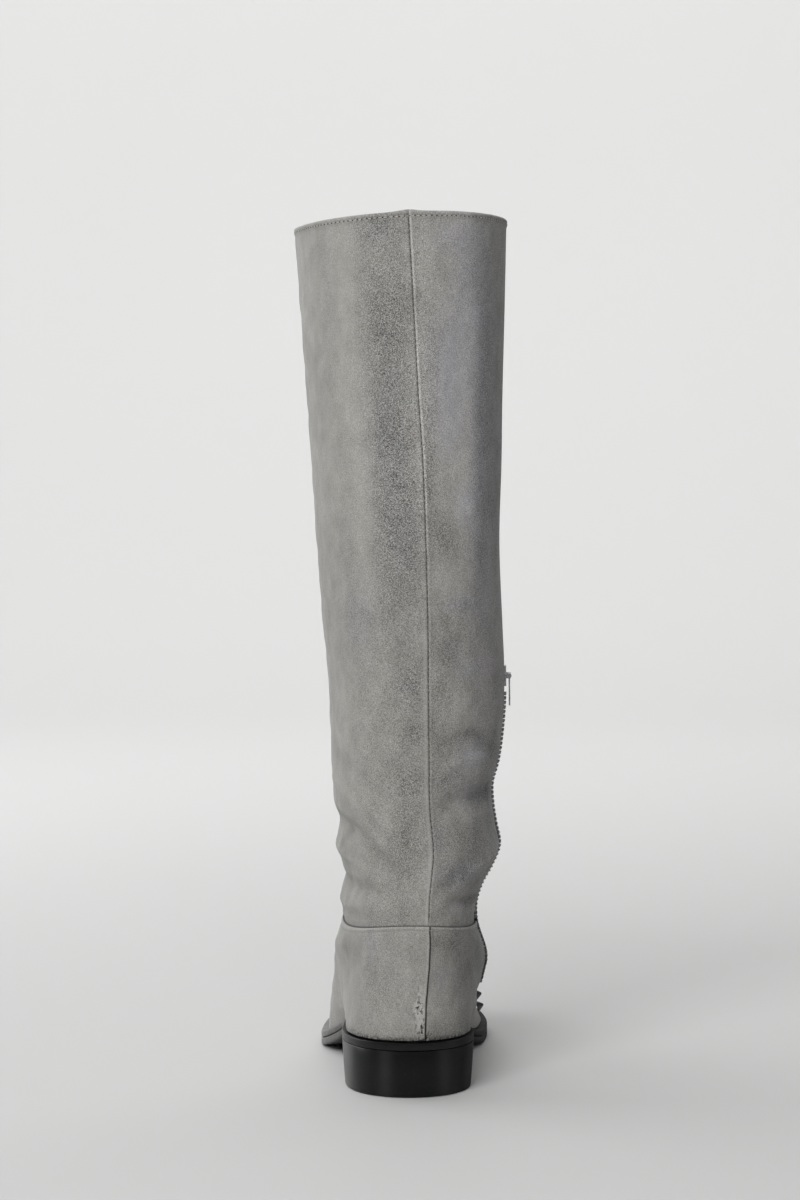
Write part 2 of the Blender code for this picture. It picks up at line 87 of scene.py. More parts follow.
HEEL_LIP = 0.2  # the heel's top edge is broken by this height and this inset
HEEL_LIP_INSET = 0.15

# Upper and shaft, the same sizes as the solids
WALL = 2.0
FEATHER_INSET_HEEL = 2.3
FEATHER_INSET_FRONT = 3.8
UPPER_LIFT = 0.55
LAP_GAP = 0.15
LAP_RAMP = 11.0
SKIVE = 0.35  # share of the wall left at the upper's thinned top edge
SKIVE_REACH = 4.6
SKIVE_RAMP = 4.0
LAP_ROWS = 8 / 15  # how far the shaft tucks into the upper
STATION_BIAS = 2.7
VAMP_SLIM = 0.20
VAMP_SLIM_START = 0.8
QUARTER = 0.33
QUARTER_SPREAD = 0.20
COLLAR_TILT = 0.042
FOOT_ROWS = (
    # rise at back, rise at front, back station, front station, lateral bulge, medial bulge
    (0.00, 0.00, 2.3, 264.2, 0.0, 0.0),
    (0.13, 0.10, 1.4, 265.0, 3.4, 5.2),
    (0.26, 0.20, 1.2, 261.0, 4.2, 9.0),
    (0.39, 0.285, 1.6, 250.0, 4.7, 11.2),
    (0.52, 0.345, 2.6, 232.0, 5.1, 11.4),
    (0.64, 0.405, 4.0, 209.0, 5.4, 11.0),
    (0.76, 0.495, 5.6, 183.0, 5.5, 9.0),
    (0.88, 0.665, 7.1, 154.0, 4.6, 5.4),
    (1.00, 1.000, 8.5, 124.0, 0.0, 0.0),
)
SHAFT_ROWS = (
    # back height, side height, front height, back station, front station, lateral, medial
    (82.8, 79.3, 94.8, 8.5, 124.0, 32.4, 35.0),
    (90.8, 88.3, 103.7, 9.8, 120.0, 33.8, 34.8),
    (99.7, 98.2, 112.7, 11.2, 116.8, 32.0, 37.6),
    (109.2, 108.2, 121.7, 12.2, 114.6, 32.6, 43.0),
    (119.2, 118.2, 130.6, 12.6, 113.2, 35.4, 46.6),
    (128.6, 128.1, 138.6, 12.4, 112.2, 34.2, 44.8),
    (138.6, 138.1, 147.6, 11.8, 111.4, 36.4, 43.2),
    (149.5, 149.1, 156.5, 11.0, 110.8, 37.4, 42.8),
    (159.5, 159.0, 165.5, 10.0, 110.5, 37.9, 45.4),
    (170.5, 170.0, 175.5, 8.8, 110.4, 38.4, 47.2),
    (189.4, 188.9, 192.4, 6.6, 110.8, 39.0, 48.8),
    (209.3, 208.8, 211.3, 4.4, 111.4, 40.2, 48.8),
    (230.2, 229.7, 231.2, 2.2, 112.4, 42.4, 47.8),
    (270.1, 269.6, 270.1, -1.4, 115.0, 45.4, 46.2),
    (309.9, 309.4, 309.9, -4.4, 118.4, 48.0, 47.2),
    (341.8, 341.3, 341.8, -6.6, 121.4, 50.2, 47.6),
    (389.6, 389.1, 389.6, -9.2, 126.2, 53.6, 48.8),
    (429.1, 428.2, 430.0, -10.6, 130.4, 56.4, 49.6),
)
SEAM_ROW = len(FOOT_ROWS) - 1
COLLAR_ROW = SEAM_ROW + len(SHAFT_ROWS) - 1

# Fineness of the dressed leather
ROUND_STEPS = 190
UPPER_STEPS = 92
SHAFT_STEPS = 190
SEAM_COLUMNS = (-3.0, -2.2, -1.6, -1.1, -0.7, -0.4, -0.2, 0.0, 0.2, 0.4, 0.7, 1.1, 1.6, 2.2, 3.0)
SEAM_SPEED = 150.0  # millimetres to one step of u, near the back
SEAM_CLEAR = 0.024
SEAM_FADE = 0.45  # the columns follow the back seam within this step of u
ZIP_CLEAR = 0.036
EDGE_COLUMNS = (0.6, 1.6)  # columns beside the zip's slot, from its edge
COLLAR_ROW_HEIGHT = 39.6
ANKLE_ROW_HEIGHT = 7.0
COLLAR_STEPS = (0.0, 0.1, 0.25, 0.5, 0.8, 1.2, 1.6, 2.0, 2.4, 2.8, 3.3, 3.9, 4.6)
ANKLE_STEPS = (0.0, 0.1, 0.25, 0.5, 0.8, 1.2, 1.6, 2.0, 2.4, 2.8)
LINE_STEPS = (0.0, 0.3, 0.6, 0.9, 1.3, 1.8, 2.4)  # rings of the shaft just above the ankle seam
COLLAR_CLEAR = 0.02  # the even rings stay this many rows away from those of the collar
LINE_CLEAR = 0.05  # and from those of the ankle

# Back seam
BACK_SEAM = (
    # row, u
    (0.0, -0.056),
    (2.7, -0.068),
    (5.5, -0.088),
    (9.5, -0.086),
    (14.5, -0.072),
    (18.2, -0.058),
    (20.8, -0.052),
    (22.9, -0.024),
    (24.0, -0.004),
    (25.0, 0.010),
)
SEAM_DEPTH = 0.4
HEEL_SEAM_DEPTH = 0.8  # the seam is pulled open on the heel
SEAM_WIDTH = 0.28
SEAM_RIDGE = 0.35
SEAM_RIDGE_AT = 1.1
SEAM_RIDGE_WIDTH = 0.8
HEEL_SEAM_DARK = 1.0  # dark of the worn seam on the heel, and its half-width
HEEL_SEAM_WIDTH = 0.60
LEG_SEAM_DARK = 0.28  # the same up the leg
LEG_SEAM_WIDTH = 0.20
SEAM_LIGHT = 0.55  # rubbed light line on the seam's medial side, in the upper leg
SEAM_LIGHT_AT = 0.75
SEAM_LIGHT_WIDTH = 0.40
SEAM_STRIP = 0.12  # smooth light strip on its lateral side, in the lower leg
SEAM_STRIP_AT = 1.7
SEAM_STRIP_WIDTH = 1.1
SEAM_TURN_ROW = 20.5  # where the strip gives way to the line
SEAM_PEAK = 0.9  # the collar stands up a little where the seam ends
SEAM_PEAK_WIDTH = 5.0
SEAM_PEAK_ROWS = 0.3

# Stitch lines, in millimetres
COLLAR_STITCH = 2.3  # below the collar's edge
ANKLE_STITCH = 2.0  # below the upper's top edge
ZIP_STITCH = 3.0  # beside the zip's slot
STITCH_PITCH = 2.7
STITCH_LONG = 2.0
STITCH_THICK = 0.22  # half a thread's thickness
COLLAR_STITCH_LONG = 1.7
COLLAR_STITCH_THICK = 0.28
HOLE_LONG = 0.8  # dark needle holes between the collar's stitches
HOLE_THICK = 0.26
SEAM_PITCH = 2.9
HEEL_THREAD = 0.30
LEG_THREAD = 0.20
STITCH_SINK = 0.28
STITCH_SINK_WIDTH = 0.55
STITCH_OUT = 0.05  # how far a thread's middle lies out of the leather
COLLAR_STITCH_OUT = 0.10
HOLE_OUT = 0.06
SEAM_STITCH_OUT = 0.18
STITCH_TAPER = 0.86
STITCH_SIDES = 7
STITCH_RINGS = 5
HEEL_SEAM_ROWS = (0.15, SEAM_ROW - 0.1)
LEG_SEAM_ROWS = (SEAM_ROW + 0.5, COLLAR_ROW - 0.1)
PATH_AHEAD = 0.3  # a path's direction is taken this far ahead and behind
PATH_STEPS = 900
ANKLE_RIM = 0.30  # the upper's top edge rolls out by this much
ANKLE_RIM_WIDTH = 0.9
# painted highlight on the upper's rolled-out top edge
ANKLE_RIM_HIGHLIGHT = 0.22
ANKLE_LAP_SHADE = 0.90  # painted shade line in the lap above the upper's edge
ANKLE_LINE_WIDTH = 0.45
COLLAR_BAND = 0.45  # the folded edge is this much thicker
COLLAR_BAND_REACH = 3.4
COLLAR_BAND_FADE = 1.2
COLLAR_RIM_HIGHLIGHT = 0.18  # the edge is painted lighter, a painted highlight
COLLAR_RIM_WIDTH = 1.0
COLLAR_STITCH_SHADE = -0.22  # and painted darker along its sunken stitches, painted shade
COLLAR_LINE_WIDTH = 0.45

# Creases of the leather
CREASES = (
    # height out of the leather, half-width, path of (u, row)
    (-2.3, 5.0, ((0.52, 13.4), (0.37, 13.4), (0.24, 12.7), (0.13, 11.6), (0.05, 10.9))),
    (-2.0, 4.5, ((0.58, 10.3), (0.44, 10.4), (0.26, 10.2), (0.14, 9.8))),
    (-1.1, 3.0, ((0.55, 8.7), (0.36, 8.8), (0.20, 8.7))),
    (1.5, 5.0, ((0.45, 15.4), (0.35, 15.0), (0.22, 14.2), (0.14, 13.1), (0.11, 11.7))),
    (-1.1, 6.0, ((0.46, 17.0), (0.32, 16.2), (0.20, 15.5))),
    (1.2, 4.0, ((0.50, 11.9), (0.36, 11.8), (0.24, 11.2), (0.16, 10.5))),
    (-2.4, 6.0, ((-0.52, 14.8), (-0.40, 14.8), (-0.29, 14.6), (-0.17, 14.4), (-0.11, 14.2))),
    (2.2, 5.5, ((-0.55, 12.1), (-0.40, 11.8), (-0.30, 11.3), (-0.22, 10.6))),
    (-2.5, 4.5, ((-0.55, 9.6), (-0.42, 9.5), (-0.30, 9.5), (-0.20, 9.6))),
    (1.1, 4.0, ((-0.27, 10.1), (-0.20, 9.9), (-0.14, 9.4))),
    (-1.2, 7.0, ((-0.20, 17.6), (-0.30, 17.0), (-0.42, 16.6))),
    (0.9, 2.4, ((0.36, 13.9), (0.27, 12.7), (0.21, 12.0), (0.17, 11.1))),
    (-0.9, 2.8, ((0.27, 15.0), (0.20, 14.0), (0.15, 13.2), (0.11, 12.4))),
    (0.8, 3.0, ((0.28, 15.6), (0.18, 14.4), (0.09, 13.2), (0.04, 12.6))),
    (-0.9, 3.0, ((-0.10, 17.1), (-0.20, 17.3), (-0.28, 17.4))),
    (0.9, 3.0, ((-0.13, 16.2), (-0.22, 16.5), (-0.32, 16.6))),
    (0.7, 9.0, ((0.22, 24.8), (0.20, 23.0), (0.19, 21.0))),
    (-0.6, 9.0, ((0.12, 24.6), (0.11, 23.0), (0.09, 21.2))),
    (-0.6, 9.0, ((-0.15, 24.4), (-0.17, 22.8), (-0.16, 20.6))),
    (-1.6, 5.0, ((0.66, 9.6), (0.82, 9.4), (1.00, 9.3), (1.18, 9.4), (1.32, 9.7))),
    (-1.3, 5.5, ((0.62, 11.4), (0.80, 11.6), (1.00, 11.7), (1.20, 11.5), (1.34, 11.2))),
    (-1.0, 6.0, ((0.68, 13.8), (0.86, 13.6), (1.00, 13.8), (1.16, 14.0))),
    (-0.7, 7.0, ((0.80, 7.2), (0.90, 6.9), (1.00, 6.8), (1.10, 6.9), (1.20, 7.2))),
    (-0.7, 5.0, ((0.70, 3.4), (0.76, 4.2), (0.84, 4.8))),
    (-0.6, 5.0, ((1.34, 3.2), (1.26, 4.1), (1.16, 4.8))),
)
CREASE_SAMPLES = 36
CREASE_ENDS = (0.06, 0.94)  # part of a half wave that fades a crease out at its ends
CREASE_FADE = 0.7
CREASE_SHOULDER = 0.7  # how strongly the leather turns the other way beside a crease
CREASE_PAINTED_LIGHT = 0.08  # a ridge is painted lighter as a painted highlight and a trough darker as painted shade, for each millimetre
WAVES = (
    # height, wave length up, wave length round, turn of phase
    (0.14, 23.0, 31.0, 0.4),
    (0.10, 13.0, 17.0, 1.9),
    (0.07, 41.0, 9.0, 3.1),
)
WAVE_BEND = 1.5
WAVE_CALM = 0.5  # share of the waves that is gone at the back, and how far round
WAVE_CALM_WIDTH = 0.05
ROUND_SPEED = 190.0  # millimetres to one step of u, on the sides
ZIP_FREE = 0.03  # creases start this step of u from the zip, and grow over the next one
ZIP_FREE_RAMP = 0.12
BELOW_RAMP = 0.5  # rows over which they fade out below the ankle seam
ABOVE_FREE = 0.1  # rows above it where they start again, and over which they grow
ABOVE_RAMP = 0.6
SEAM_RAMP = 0.3  # rows over which the back seam's relief starts again above it

# Tone of the suede, with painted shade and highlights
GRAIN_BASE = 0.45  # speckle all round the leg, apart from a smoother part on the lateral side
FOOT_GRAIN = 0.28  # and round the foot
GRAIN_SMOOTH_AT = 0.42
GRAIN_SMOOTH_REACH = 0.27
GRAIN_SMOOTH_FADE = 0.20
PATCH_SOFT_ROUND = 1.3  # the patches fade out past their half-sizes
PATCH_SOFT_UP = 1.2
PATCHES = (
    # u, height, half round, half up, tone, speckle, violet
    # top of the leg
    (0.090, 421.0, 8.0, 6.0, -0.12, 0.4, 0.3),
    (0.270, 405.0, 4.0, 25.0, -0.05, 0.1, 0.1),
    (0.200, 392.0, 6.0, 40.0, 0.12, -0.3, 0.0),
    (0.075, 380.0, 9.0, 24.0, -0.18, 0.5, 0.2),
    (-0.055, 345.0, 5.0, 40.0, -0.08, 0.3, 0.0),
    (-0.120, 418.0, 9.0, 7.0, 0.05, 0.0, 0.6),
    (-0.195, 400.0, 7.0, 26.0, -0.10, 0.1, 0.7),
    (-0.125, 360.0, 9.0, 22.0, 0.08, -0.1, 0.9),
    # middle of the leg
    (0.076, 322.0, 8.0, 26.0, -0.12, 0.4, 0.4),
    (0.040, 300.0, 9.0, 50.0, -0.06, 0.4, 0.1),
    (0.160, 300.0, 5.0, 60.0, 0.14, -0.3, 0.0),
    (-0.058, 308.0, 2.4, 17.0, -0.22, 0.3, 0.0),
    (-0.125, 326.0, 7.0, 16.0, 0.08, -0.1, 0.7),
    (-0.115, 273.0, 6.5, 8.0, -0.20, 0.4, 0.0),
    (-0.190, 288.0, 5.0, 8.0, 0.08, -0.1, 0.7),
    (-0.265, 325.0, 6.0, 70.0, -0.22, 0.2, 0.9),
    (0.030, 274.0, 8.0, 20.0, -0.10, 0.3, 0.4),
    (-0.120, 251.0, 7.0, 8.0, 0.10, -0.1, 0.0),
    (0.200, 234.0, 8.0, 14.0, 0.00, 0.1, 0.6),
    # above the ankle
    (-0.115, 232.0, 3.5, 4.0, -0.16, 0.2, 0.0),
    (-0.175, 240.0, 7.0, 4.0, -0.10, 0.2, 0.8),
    (-0.130, 217.0, 8.0, 7.0, -0.18, 0.2, 0.3),
    (-0.205, 208.0, 7.0, 4.5, 0.10, 0.0, 0.5),
    (-0.065, 212.0, 2.6, 7.0, 0.10, 0.0, 0.0),
    (0.000, 200.0, 6.0, 9.0, -0.14, 0.5, 0.3),
    (-0.086, 198.0, 4.0, 4.5, -0.12, 0.2, 0.0),
    (-0.168, 189.0, 7.0, 5.5, 0.08, 0.0, 0.2),
    (-0.004, 177.0, 5.0, 4.5, -0.10, 0.4, 0.2),
    (-0.076, 183.0, 3.0, 4.5, -0.12, 0.2, 0.0),
    (-0.200, 174.5, 9.0, 3.0, -0.20, 0.1, 0.3),
    (-0.110, 170.0, 5.0, 3.5, -0.20, 0.2, 0.0),
    (-0.230, 165.0, 8.0, 4.5, 0.12, -0.1, 0.9),
    # folds at the ankle
    (-0.132, 153.5, 9.0, 6.0, -0.18, 0.2, 0.2),
    (-0.230, 146.0, 8.0, 5.0, 0.12, -0.1, 0.4),
    (0.013, 152.0, 6.0, 8.0, -0.14, 0.5, 0.0),
    (0.013, 123.0, 6.0, 10.0, -0.10, 0.4, 0.0),
    (-0.097, 124.0, 6.0, 8.0, -0.08, 0.2, 0.4),
    (-0.190, 107.0, 10.0, 5.0, -0.16, 0.1, 0.8),
    (-0.225, 90.5, 6.0, 2.5, 0.16, 0.0, 0.6),
    # foot
    (-0.200, 74.0, 8.0, 5.5, -0.22, 0.4, 0.0),
    (-0.115, 75.0, 4.0, 3.5, -0.12, 0.2, 0.0),
    (-0.145, 57.0, 5.0, 4.5, -0.08, 0.1, 0.6),
    (-0.240, 47.0, 9.0, 9.0, -0.06, 0.25, 0.0),
    (0.170, 52.0, 9.0, 12.0, -0.07, 0.2, 0.0),
    (0.195, 73.0, 6.0, 8.0, -0.03, 0.1, 0.5),
    (0.055, 79.0, 8.0, 4.0, 0.06, 0.0, 0.0),
    (0.080, 40.0, 12.0, 9.0, 0.06, 0.0, 0.0),
    # medial side, painted shade
    (-0.340, 300.0, 14.0, 130.0, -0.16, 0.1, 0.5),
    (-0.340, 110.0, 14.0, 60.0, -0.16, 0.1, 0.3),
    (-0.400, 300.0, 9.0, 170.0, -0.22, 0.0, 0.0),
    (-0.410, 56.0, 11.0, 18.0, -0.22, 0.0, 0.0),
    # broad lighter and darker areas; the dark ones on the medial side and low on the heel counter are
    # painted shade
    (-0.185, 375.0, 11.0, 75.0, 0.45, 0.0, 0.0),
    (-0.205, 290.0, 8.0, 22.0, 0.30, 0.0, 0.0),
    (-0.035, 330.0, 3.0, 65.0, 0.25, 0.0, 0.0),
    (-0.240, 162.0, 6.0, 7.0, 0.15, 0.0, 0.0),
    (-0.200, 141.0, 5.0, 5.0, 0.22, 0.0, 0.0),
    (0.090, 143.0, 8.0, 11.0, 0.12, 0.0, 0.0),
    (0.340, 121.0, 6.0, 6.0, -0.16, 0.0, 0.0),
    (-0.240, 121.0, 7.0, 8.0, -0.28, 0.0, 0.0),
    (-0.170, 104.0, 6.0, 6.0, -0.20, 0.0, 0.0),
    (-0.055, 105.0, 5.0, 22.0, 0.22, 0.0, 0.0),
    (0.340, 66.0, 8.0, 8.0, -0.18, 0.0, 0.0),
    (-0.290, 60.0, 9.0, 14.0, -0.26, 0.0, 0.0),
    (-0.110, 27.0, 14.0, 7.0, -0.40, 0.0, 0.0),
    (-0.280, 31.0, 9.0, 8.0, -0.34, 0.0, 0.0),
)
SCUFFS = (
    # u, height, half round, half up, light torn fibres, dark flecks
    (-0.036, 49.5, 2.4, 4.5, 0.9, 0.5),
    (-0.031, 43.5, 3.2, 5.5, 1.1, 1.1),
    (-0.037, 36.5, 3.0, 5.0, 0.7, 1.2),
    (-0.047, 30.0, 3.8, 5.0, 0.4, 1.5),
)
DYE_HEIGHT = 1.7  # black dye rubbed off above the sole's edge
DYE_AND_SHADE_BACK = 0.42
DYE_AND_SHADE_STRENGTH = 1.4
SEAT_GAP_SHADE = 1.1  # painted shade reaches higher where the heel's seat stands away on the lateral side
SEAT_GAP_SHADE_AT = 0.33
SEAT_GAP_SHADE_WIDTH = 0.09

# Colours of suede, lining, cloth, thread and metal
SUEDE_GREY = (0.275, 0.268, 0.250, 1)
SUEDE_VIOLET = (0.252, 0.248, 0.268, 1)
SPECKLE_DARK = (0.075, 0.072, 0.070, 1)
FLECK_DARK = (0.085, 0.082, 0.080, 1)
TORN_LIGHT = (0.44, 0.43, 0.41, 1)
WORN_DARK = (0.030, 0.029, 0.028, 1)
DYE_AND_SHADE_DARK = (0.035, 0.034, 0.034, 1)
SEAM_BLACK = (0.012, 0.012, 0.012, 1)
SHEEN = (0.92, 0.92, 0.95, 1)
LINING_TONES = ((0.30, 0.235, 0.17, 1), (0.34, 0.27, 0.20, 1))
CLOTH_TONES = ((0.014, 0.014, 0.015, 1), (0.03, 0.03, 0.032, 1))
THREADS = (
    ("pale", (0.44, 0.43, 0.40)),
    ("grey", (0.30, 0.295, 0.28)),
    ("dark", (0.055, 0.054, 0.053)),
    ("black", (0.012, 0.012, 0.012)),
)
ZIP_METAL = (0.14, 0.14, 0.145)
PULL_METAL = (0.24, 0.24, 0.245)
STUD_METAL = (0.05, 0.05, 0.055)

# Polish of the heel and sole, with a painted reflection and sheen
HEEL_BLACK = (0.0045, 0.0045, 0.005, 1)
POLISH_DUST = (0.05, 0.05, 0.05, 1)
SOLE_DUST_AND_SHEEN = (0.20, 0.197, 0.188, 1)
HEEL_REFLECTION_GREY = (0.080, 0.079, 0.077, 1)
HEEL_REFLECTION_STREAKS = (
    # x, half-width, share of painted reflection
    (-31.0, 2.6, 0.90),
    (-12.5, 3.5, 0.18),
    (16.5, 3.5, 0.14),
)
DULL_START = 18.0  # the medial side of the heel and sole is duller
DULL_END = 26.0
ROUGHNESS = (0.34, 0.75)  # polished and dull

# Zip
ZIP_U = 1.521
ZIP_BOTTOM_ROW = 2.85
ZIP_TOP_ROW = 19.05
ZIP_FOOT_ROWS = (ZIP_BOTTOM_ROW, SEAM_ROW - 0.15)  # where the stitches beside it run
ZIP_LEG_ROWS = (SEAM_ROW + 0.5, ZIP_TOP_ROW + 0.1)
ZIP_SLOT = 8.0
CHAIN_WIDTH = 5.4
CHAIN_RISE = 0.9
CHAIN_ROWS = (2.97, 18.35)
TOOTH_PITCH = 2.3
TOOTH_TALL = 0.92
TOOTH_DEEP = 2.2
TOOTH_OVERLAP = 0.7
TOOTH_TIP = 0.75  # share of its height left at a tooth's head
TOOTH_SLOPE = 0.25  # the head is lower than the root by this much
CHAIN_END = 0.4
TAPE_SLACK = 0.7
CORD_DEPTH = 1.3  # the cloth band under the teeth lies this far under the skin
CORD_ROUND = 0.5
CORD_FLAT = 0.6  # share of its width that is flat on top
CORD_STEPS = 260
ZIP_STEP = 0.03  # the zip's direction is taken over this many rows each way
SLIDER_EDGE = 0.3  # softened edges of slider and pull
PULL_EDGE = 0.25
SOFT_ANGLE = 40
WELD_REACH = 0.01
BOX_FACES = ((0, 1, 3, 2), (4, 6, 7, 5), (0, 4, 5, 1), (2, 3, 7, 6), (0, 2, 6, 4), (1, 5, 7, 3))

# Vamp studs
STUD_COUNT = 9
STUD_LINE = (
    # u, row
    (1.295, 0.90),
    (1.335, 2.90),
    (1.290, 4.60),
    (1.180, 5.70),
    (1.000, 6.20),
    (0.820, 5.30),
    (0.750, 3.90),
    (0.715, 2.40),
)
STUD_LINE_STEPS = 200
STUD_PROFILE = (
    # radius, height above the seat
    (3.40, 0.00),
    (3.40, 0.30),
    (3.22, 0.52),
    (2.95, 0.68),
    (1.20, 2.90),
    (0.62, 3.58),
    (0.34, 3.74),
    (0.00, 3.80),
)
STUD_SIDES = 32

# Studio
FOCAL_PIXELS = 3105.0
IMAGE_LONG = 1200.0
SENSOR = 36.0
CAMERA_PLACE = (-0.048, -1.531, 0.295)
CAMERA_PITCH = 2.00
CAMERA_YAW = 1.63
FLOOR_CAP = 0.05
FLOOR_MIDDLE = 0.5
FLOOR_FLAT = 2.3  # the round floor is flat to this far out, and then sweeps up
WALL_SWEEP = 2.2  # length of the sweep, which starts and ends gently
WALL_TOP = 3.0
STAGE_SIDES = 64
SWEEP_STEPS = 40
FLOOR_DROP = 0.0002
FLOOR_TONE = (0.57, 0.573, 0.567, 1)
BACKDROP_TONE = (0.62, 0.622, 0.616, 1)
FLOOR_TONE_START = 0.0  # the floor is painted lighter towards the backdrop between these places, painted light
FLOOR_TONE_END = 3.0
LIGHTS = (
    # name, place, target, size, watts, seen in gloss
    ("key from the left", (-0.75, -1.9, 1.7), (0, 0, 0.2), (1.2, 1.2), 46.0, False),
    ("fill from the front", (0.1, -2.5, 1.1), (0, 0, 0.2), (0.8, 1.2), 11.0, False),
    ("panel at the left", (-1.7, 0.9, 0.75), (0, 0.05, 0.1), (1.6, 0.7), 15.0, True),
    ("top", (-0.5, 0.0, 2.2), (0, 0.1, 0), (1.4, 1.6), 9.0, True),
    ("backdrop", (-0.2, 1.6, 2.6), (0, 3.2, 0.7), (3.4, 0.8), 76.0, True),
)
SKY_COLOUR = (0.9, 0.92, 0.95, 1)
SKY_STRENGTH = 0.02


def smooth_through(xs, ys, at):
    """Values at `at` of a soft curve through the points of a table, without overshoot."""
    xs = np.asarray(xs, float)
    ys = np.asarray(ys, float)
    at = np.clip(np.asarray(at, float), xs[0], xs[-1])
    step = np.diff(xs)
    slope = np.diff(ys) / step
    tangent = np.empty_like(ys)
    tangent[0] = slope[0]
    tangent[-1] = slope[-1]
    tangent[1:-1] = (slope[:-1] * step[1:] + slope[1:] * step[:-1]) / (step[1:] + step[:-1])
    i = np.clip(np.searchsorted(xs, at, side="right") - 1, 0, len(step) - 1)
    h = step[i]
    t = (at - xs[i]) / h
    start = ys[i] * (1 + 2 * t) * (1 - t) ** 2 + tangent[i] * h * t * (1 - t) ** 2
    end = ys[i + 1] * t**2 * (3 - 2 * t) + tangent[i + 1] * h * t**2 * (t - 1)
    return start + end


def ease(t):
    t = np.clip(t, 0.0, 1.0)
    return t * t * (3 - 2 * t)


def oval(share):
    """Half-width of a unit oval at a share of its length."""
    return 2 * np.sqrt(np.clip(share * (1 - share), 0.0, None))


def column(rows, index):
    return [row[index] for row in rows]


def outline_factor(share, side, inset):
    """Half-width of the sole's outline, inset all round, over that of a unit oval."""
    length = SOLE_LENGTH - 2 * inset
    shares = [0.0] + [(station - inset) / length for station in column(SOLE_OUTLINE, 0)] + [1.0]
    widths = column(SOLE_OUTLINE, 1 if side == "lateral" else 2)
    heel = math.sqrt((HEEL_RADIUS - inset) * length / 2)
    toe = math.sqrt((TOE_RADIUS - inset) * length / 2)
    inner = [(width - inset) / oval(at) for width, at in zip(widths, shares[1:-1])]
    return smooth_through(shares, [heel] + inner + [toe], share)


def swing(station):
    """Sideways shift of the foot's middle line."""
    return TOE_SHIFT * ease((station - TOE_SHIFT_START) / (SOLE_LENGTH - TOE_SHIFT_START))


def tread_height(station):
    """Height of the sole's underside: heel seat, arch, ball and toe spring."""
    arch = HEEL_HEIGHT * (1 - ease((station - HEEL_BREAST) / (BALL_BACK - HEEL_BREAST)))
    toe = np.clip((station - BALL_FRONT) / (SOLE_LENGTH - BALL_FRONT), 0.0, 1.0)
    return arch + TOE_SPRING * toe**2


def welt_height(station):
    return WELT_THICK * ease((station - HEEL_BREAST) / (WELT_FULL - HEEL_BREAST))


def feather_height(station):
    """Height of the upper's bottom edge, above outsole and welt."""
    return tread_height(station) + OUTSOLE_THICK + welt_height(station) + GAP


def share_round(u):
    """Share of a ring's length at place u round the boot: 0 back, 1 front, 2 back again."""
    return (1 - np.cos(math.pi * u)) / 2


def sole_point(u, inset):
    """Sideways place and station of the sole's outline at place u."""
    u = np.mod(u, 2.0)
    share = share_round(u)
    station = inset + share * (SOLE_LENGTH - 2 * inset)
    lateral = outline_factor(share, "lateral", inset)
    medial = outline_factor(share, "medial", inset)
    x = oval(share) * np.where(u < 1, -lateral, medial)
    return x + swing(station), station


def foot_ring(row, u):
    """Points of the foot part's outer skin, rows 0 at the sole to SEAM_ROW at the ankle."""
    rows = range(len(FOOT_ROWS))
    rise_back, rise_front, back, front, bulge_lateral, bulge_medial = (
        smooth_through(rows, column(FOOT_ROWS, index), row) for index in range(6)
    )
    morph = row / SEAM_ROW
    share = share_round(u)
    ankle_back, ankle_front, ankle_lateral, ankle_medial = SHAFT_ROWS[0][3:]
    ankle_length = ankle_front - ankle_back
    station = back + ankle_length * share + (front - back - ankle_length) * share**STATION_BIAS
    along = np.clip((station - back) / (front - back), 0.0, 1.0)
    inset = FEATHER_INSET_HEEL + (FEATHER_INSET_FRONT - FEATHER_INSET_HEEL) * ease(2 * along)
    lateral = (1 - morph) * (outline_factor(along, "lateral", 0.0) - inset) + morph * ankle_lateral
    medial = (1 - morph) * (outline_factor(along, "medial", 0.0) - inset) + morph * ankle_medial
    slim = 1 - VAMP_SLIM * np.sin(math.pi * morph) * ease(2 * along - VAMP_SLIM_START)
    quarter = np.exp(-(((along - QUARTER) / QUARTER_SPREAD) ** 2)) * oval(along) ** 0.5
    lateral = oval(along) * lateral * slim + bulge_lateral * quarter
    medial = oval(along) * medial * slim + bulge_medial * quarter
    x = np.where(u < 1, -lateral, medial) + (1 - morph) * swing(station)
    rise = rise_back + (rise_front - rise_back) * ease(along)
    low = feather_height(station) + UPPER_LIFT
    return x, station, low + (ring_height(SHAFT_ROWS[0][:3], share) - low) * rise


def ring_height(heights, share):
    """Height along a ring, through its back, side and front heights."""
    back, side, front = heights
    bend = 2 * (back + front) - 4 * side
    return back + (front - back - bend) * share + bend * share**2


def shaft_ring(row, u):
    """Points of the shaft's skin, from SEAM_ROW up to COLLAR_ROW."""
    rows = range(SEAM_ROW, COLLAR_ROW + 1)
    back_z, side_z, front_z, back, front, lateral, medial = (
        smooth_through(rows, column(SHAFT_ROWS, index), row) for index in range(7)
    )
    share = share_round(u)
    station = back + (front - back) * share
    x = oval(share) * np.where(u < 1, -lateral, medial)
    z = ring_height((back_z, side_z, front_z), share)
    top = SHAFT_ROWS[-1][1]
    return x, station, z + COLLAR_TILT * x * np.clip(z / top, 0.0, 1.0) ** 4


def skin(row, u):
    """The boot's outer skin in metres, at a row up the boot and a place round it."""
    row, u = np.broadcast_arrays(np.asarray(row, float), np.asarray(u, float))
    u = np.mod(u, 2.0)
    foot = foot_ring(np.clip(row, 0, SEAM_ROW), u)
    shaft = shaft_ring(np.clip(row, SEAM_ROW, COLLAR_ROW), u)
    x, station, z = (np.where(row < SEAM_ROW, a, b) for a, b in zip(foot, shaft))
    return np.stack([x, station - HEEL_CENTRE, z], axis=-1) * MM


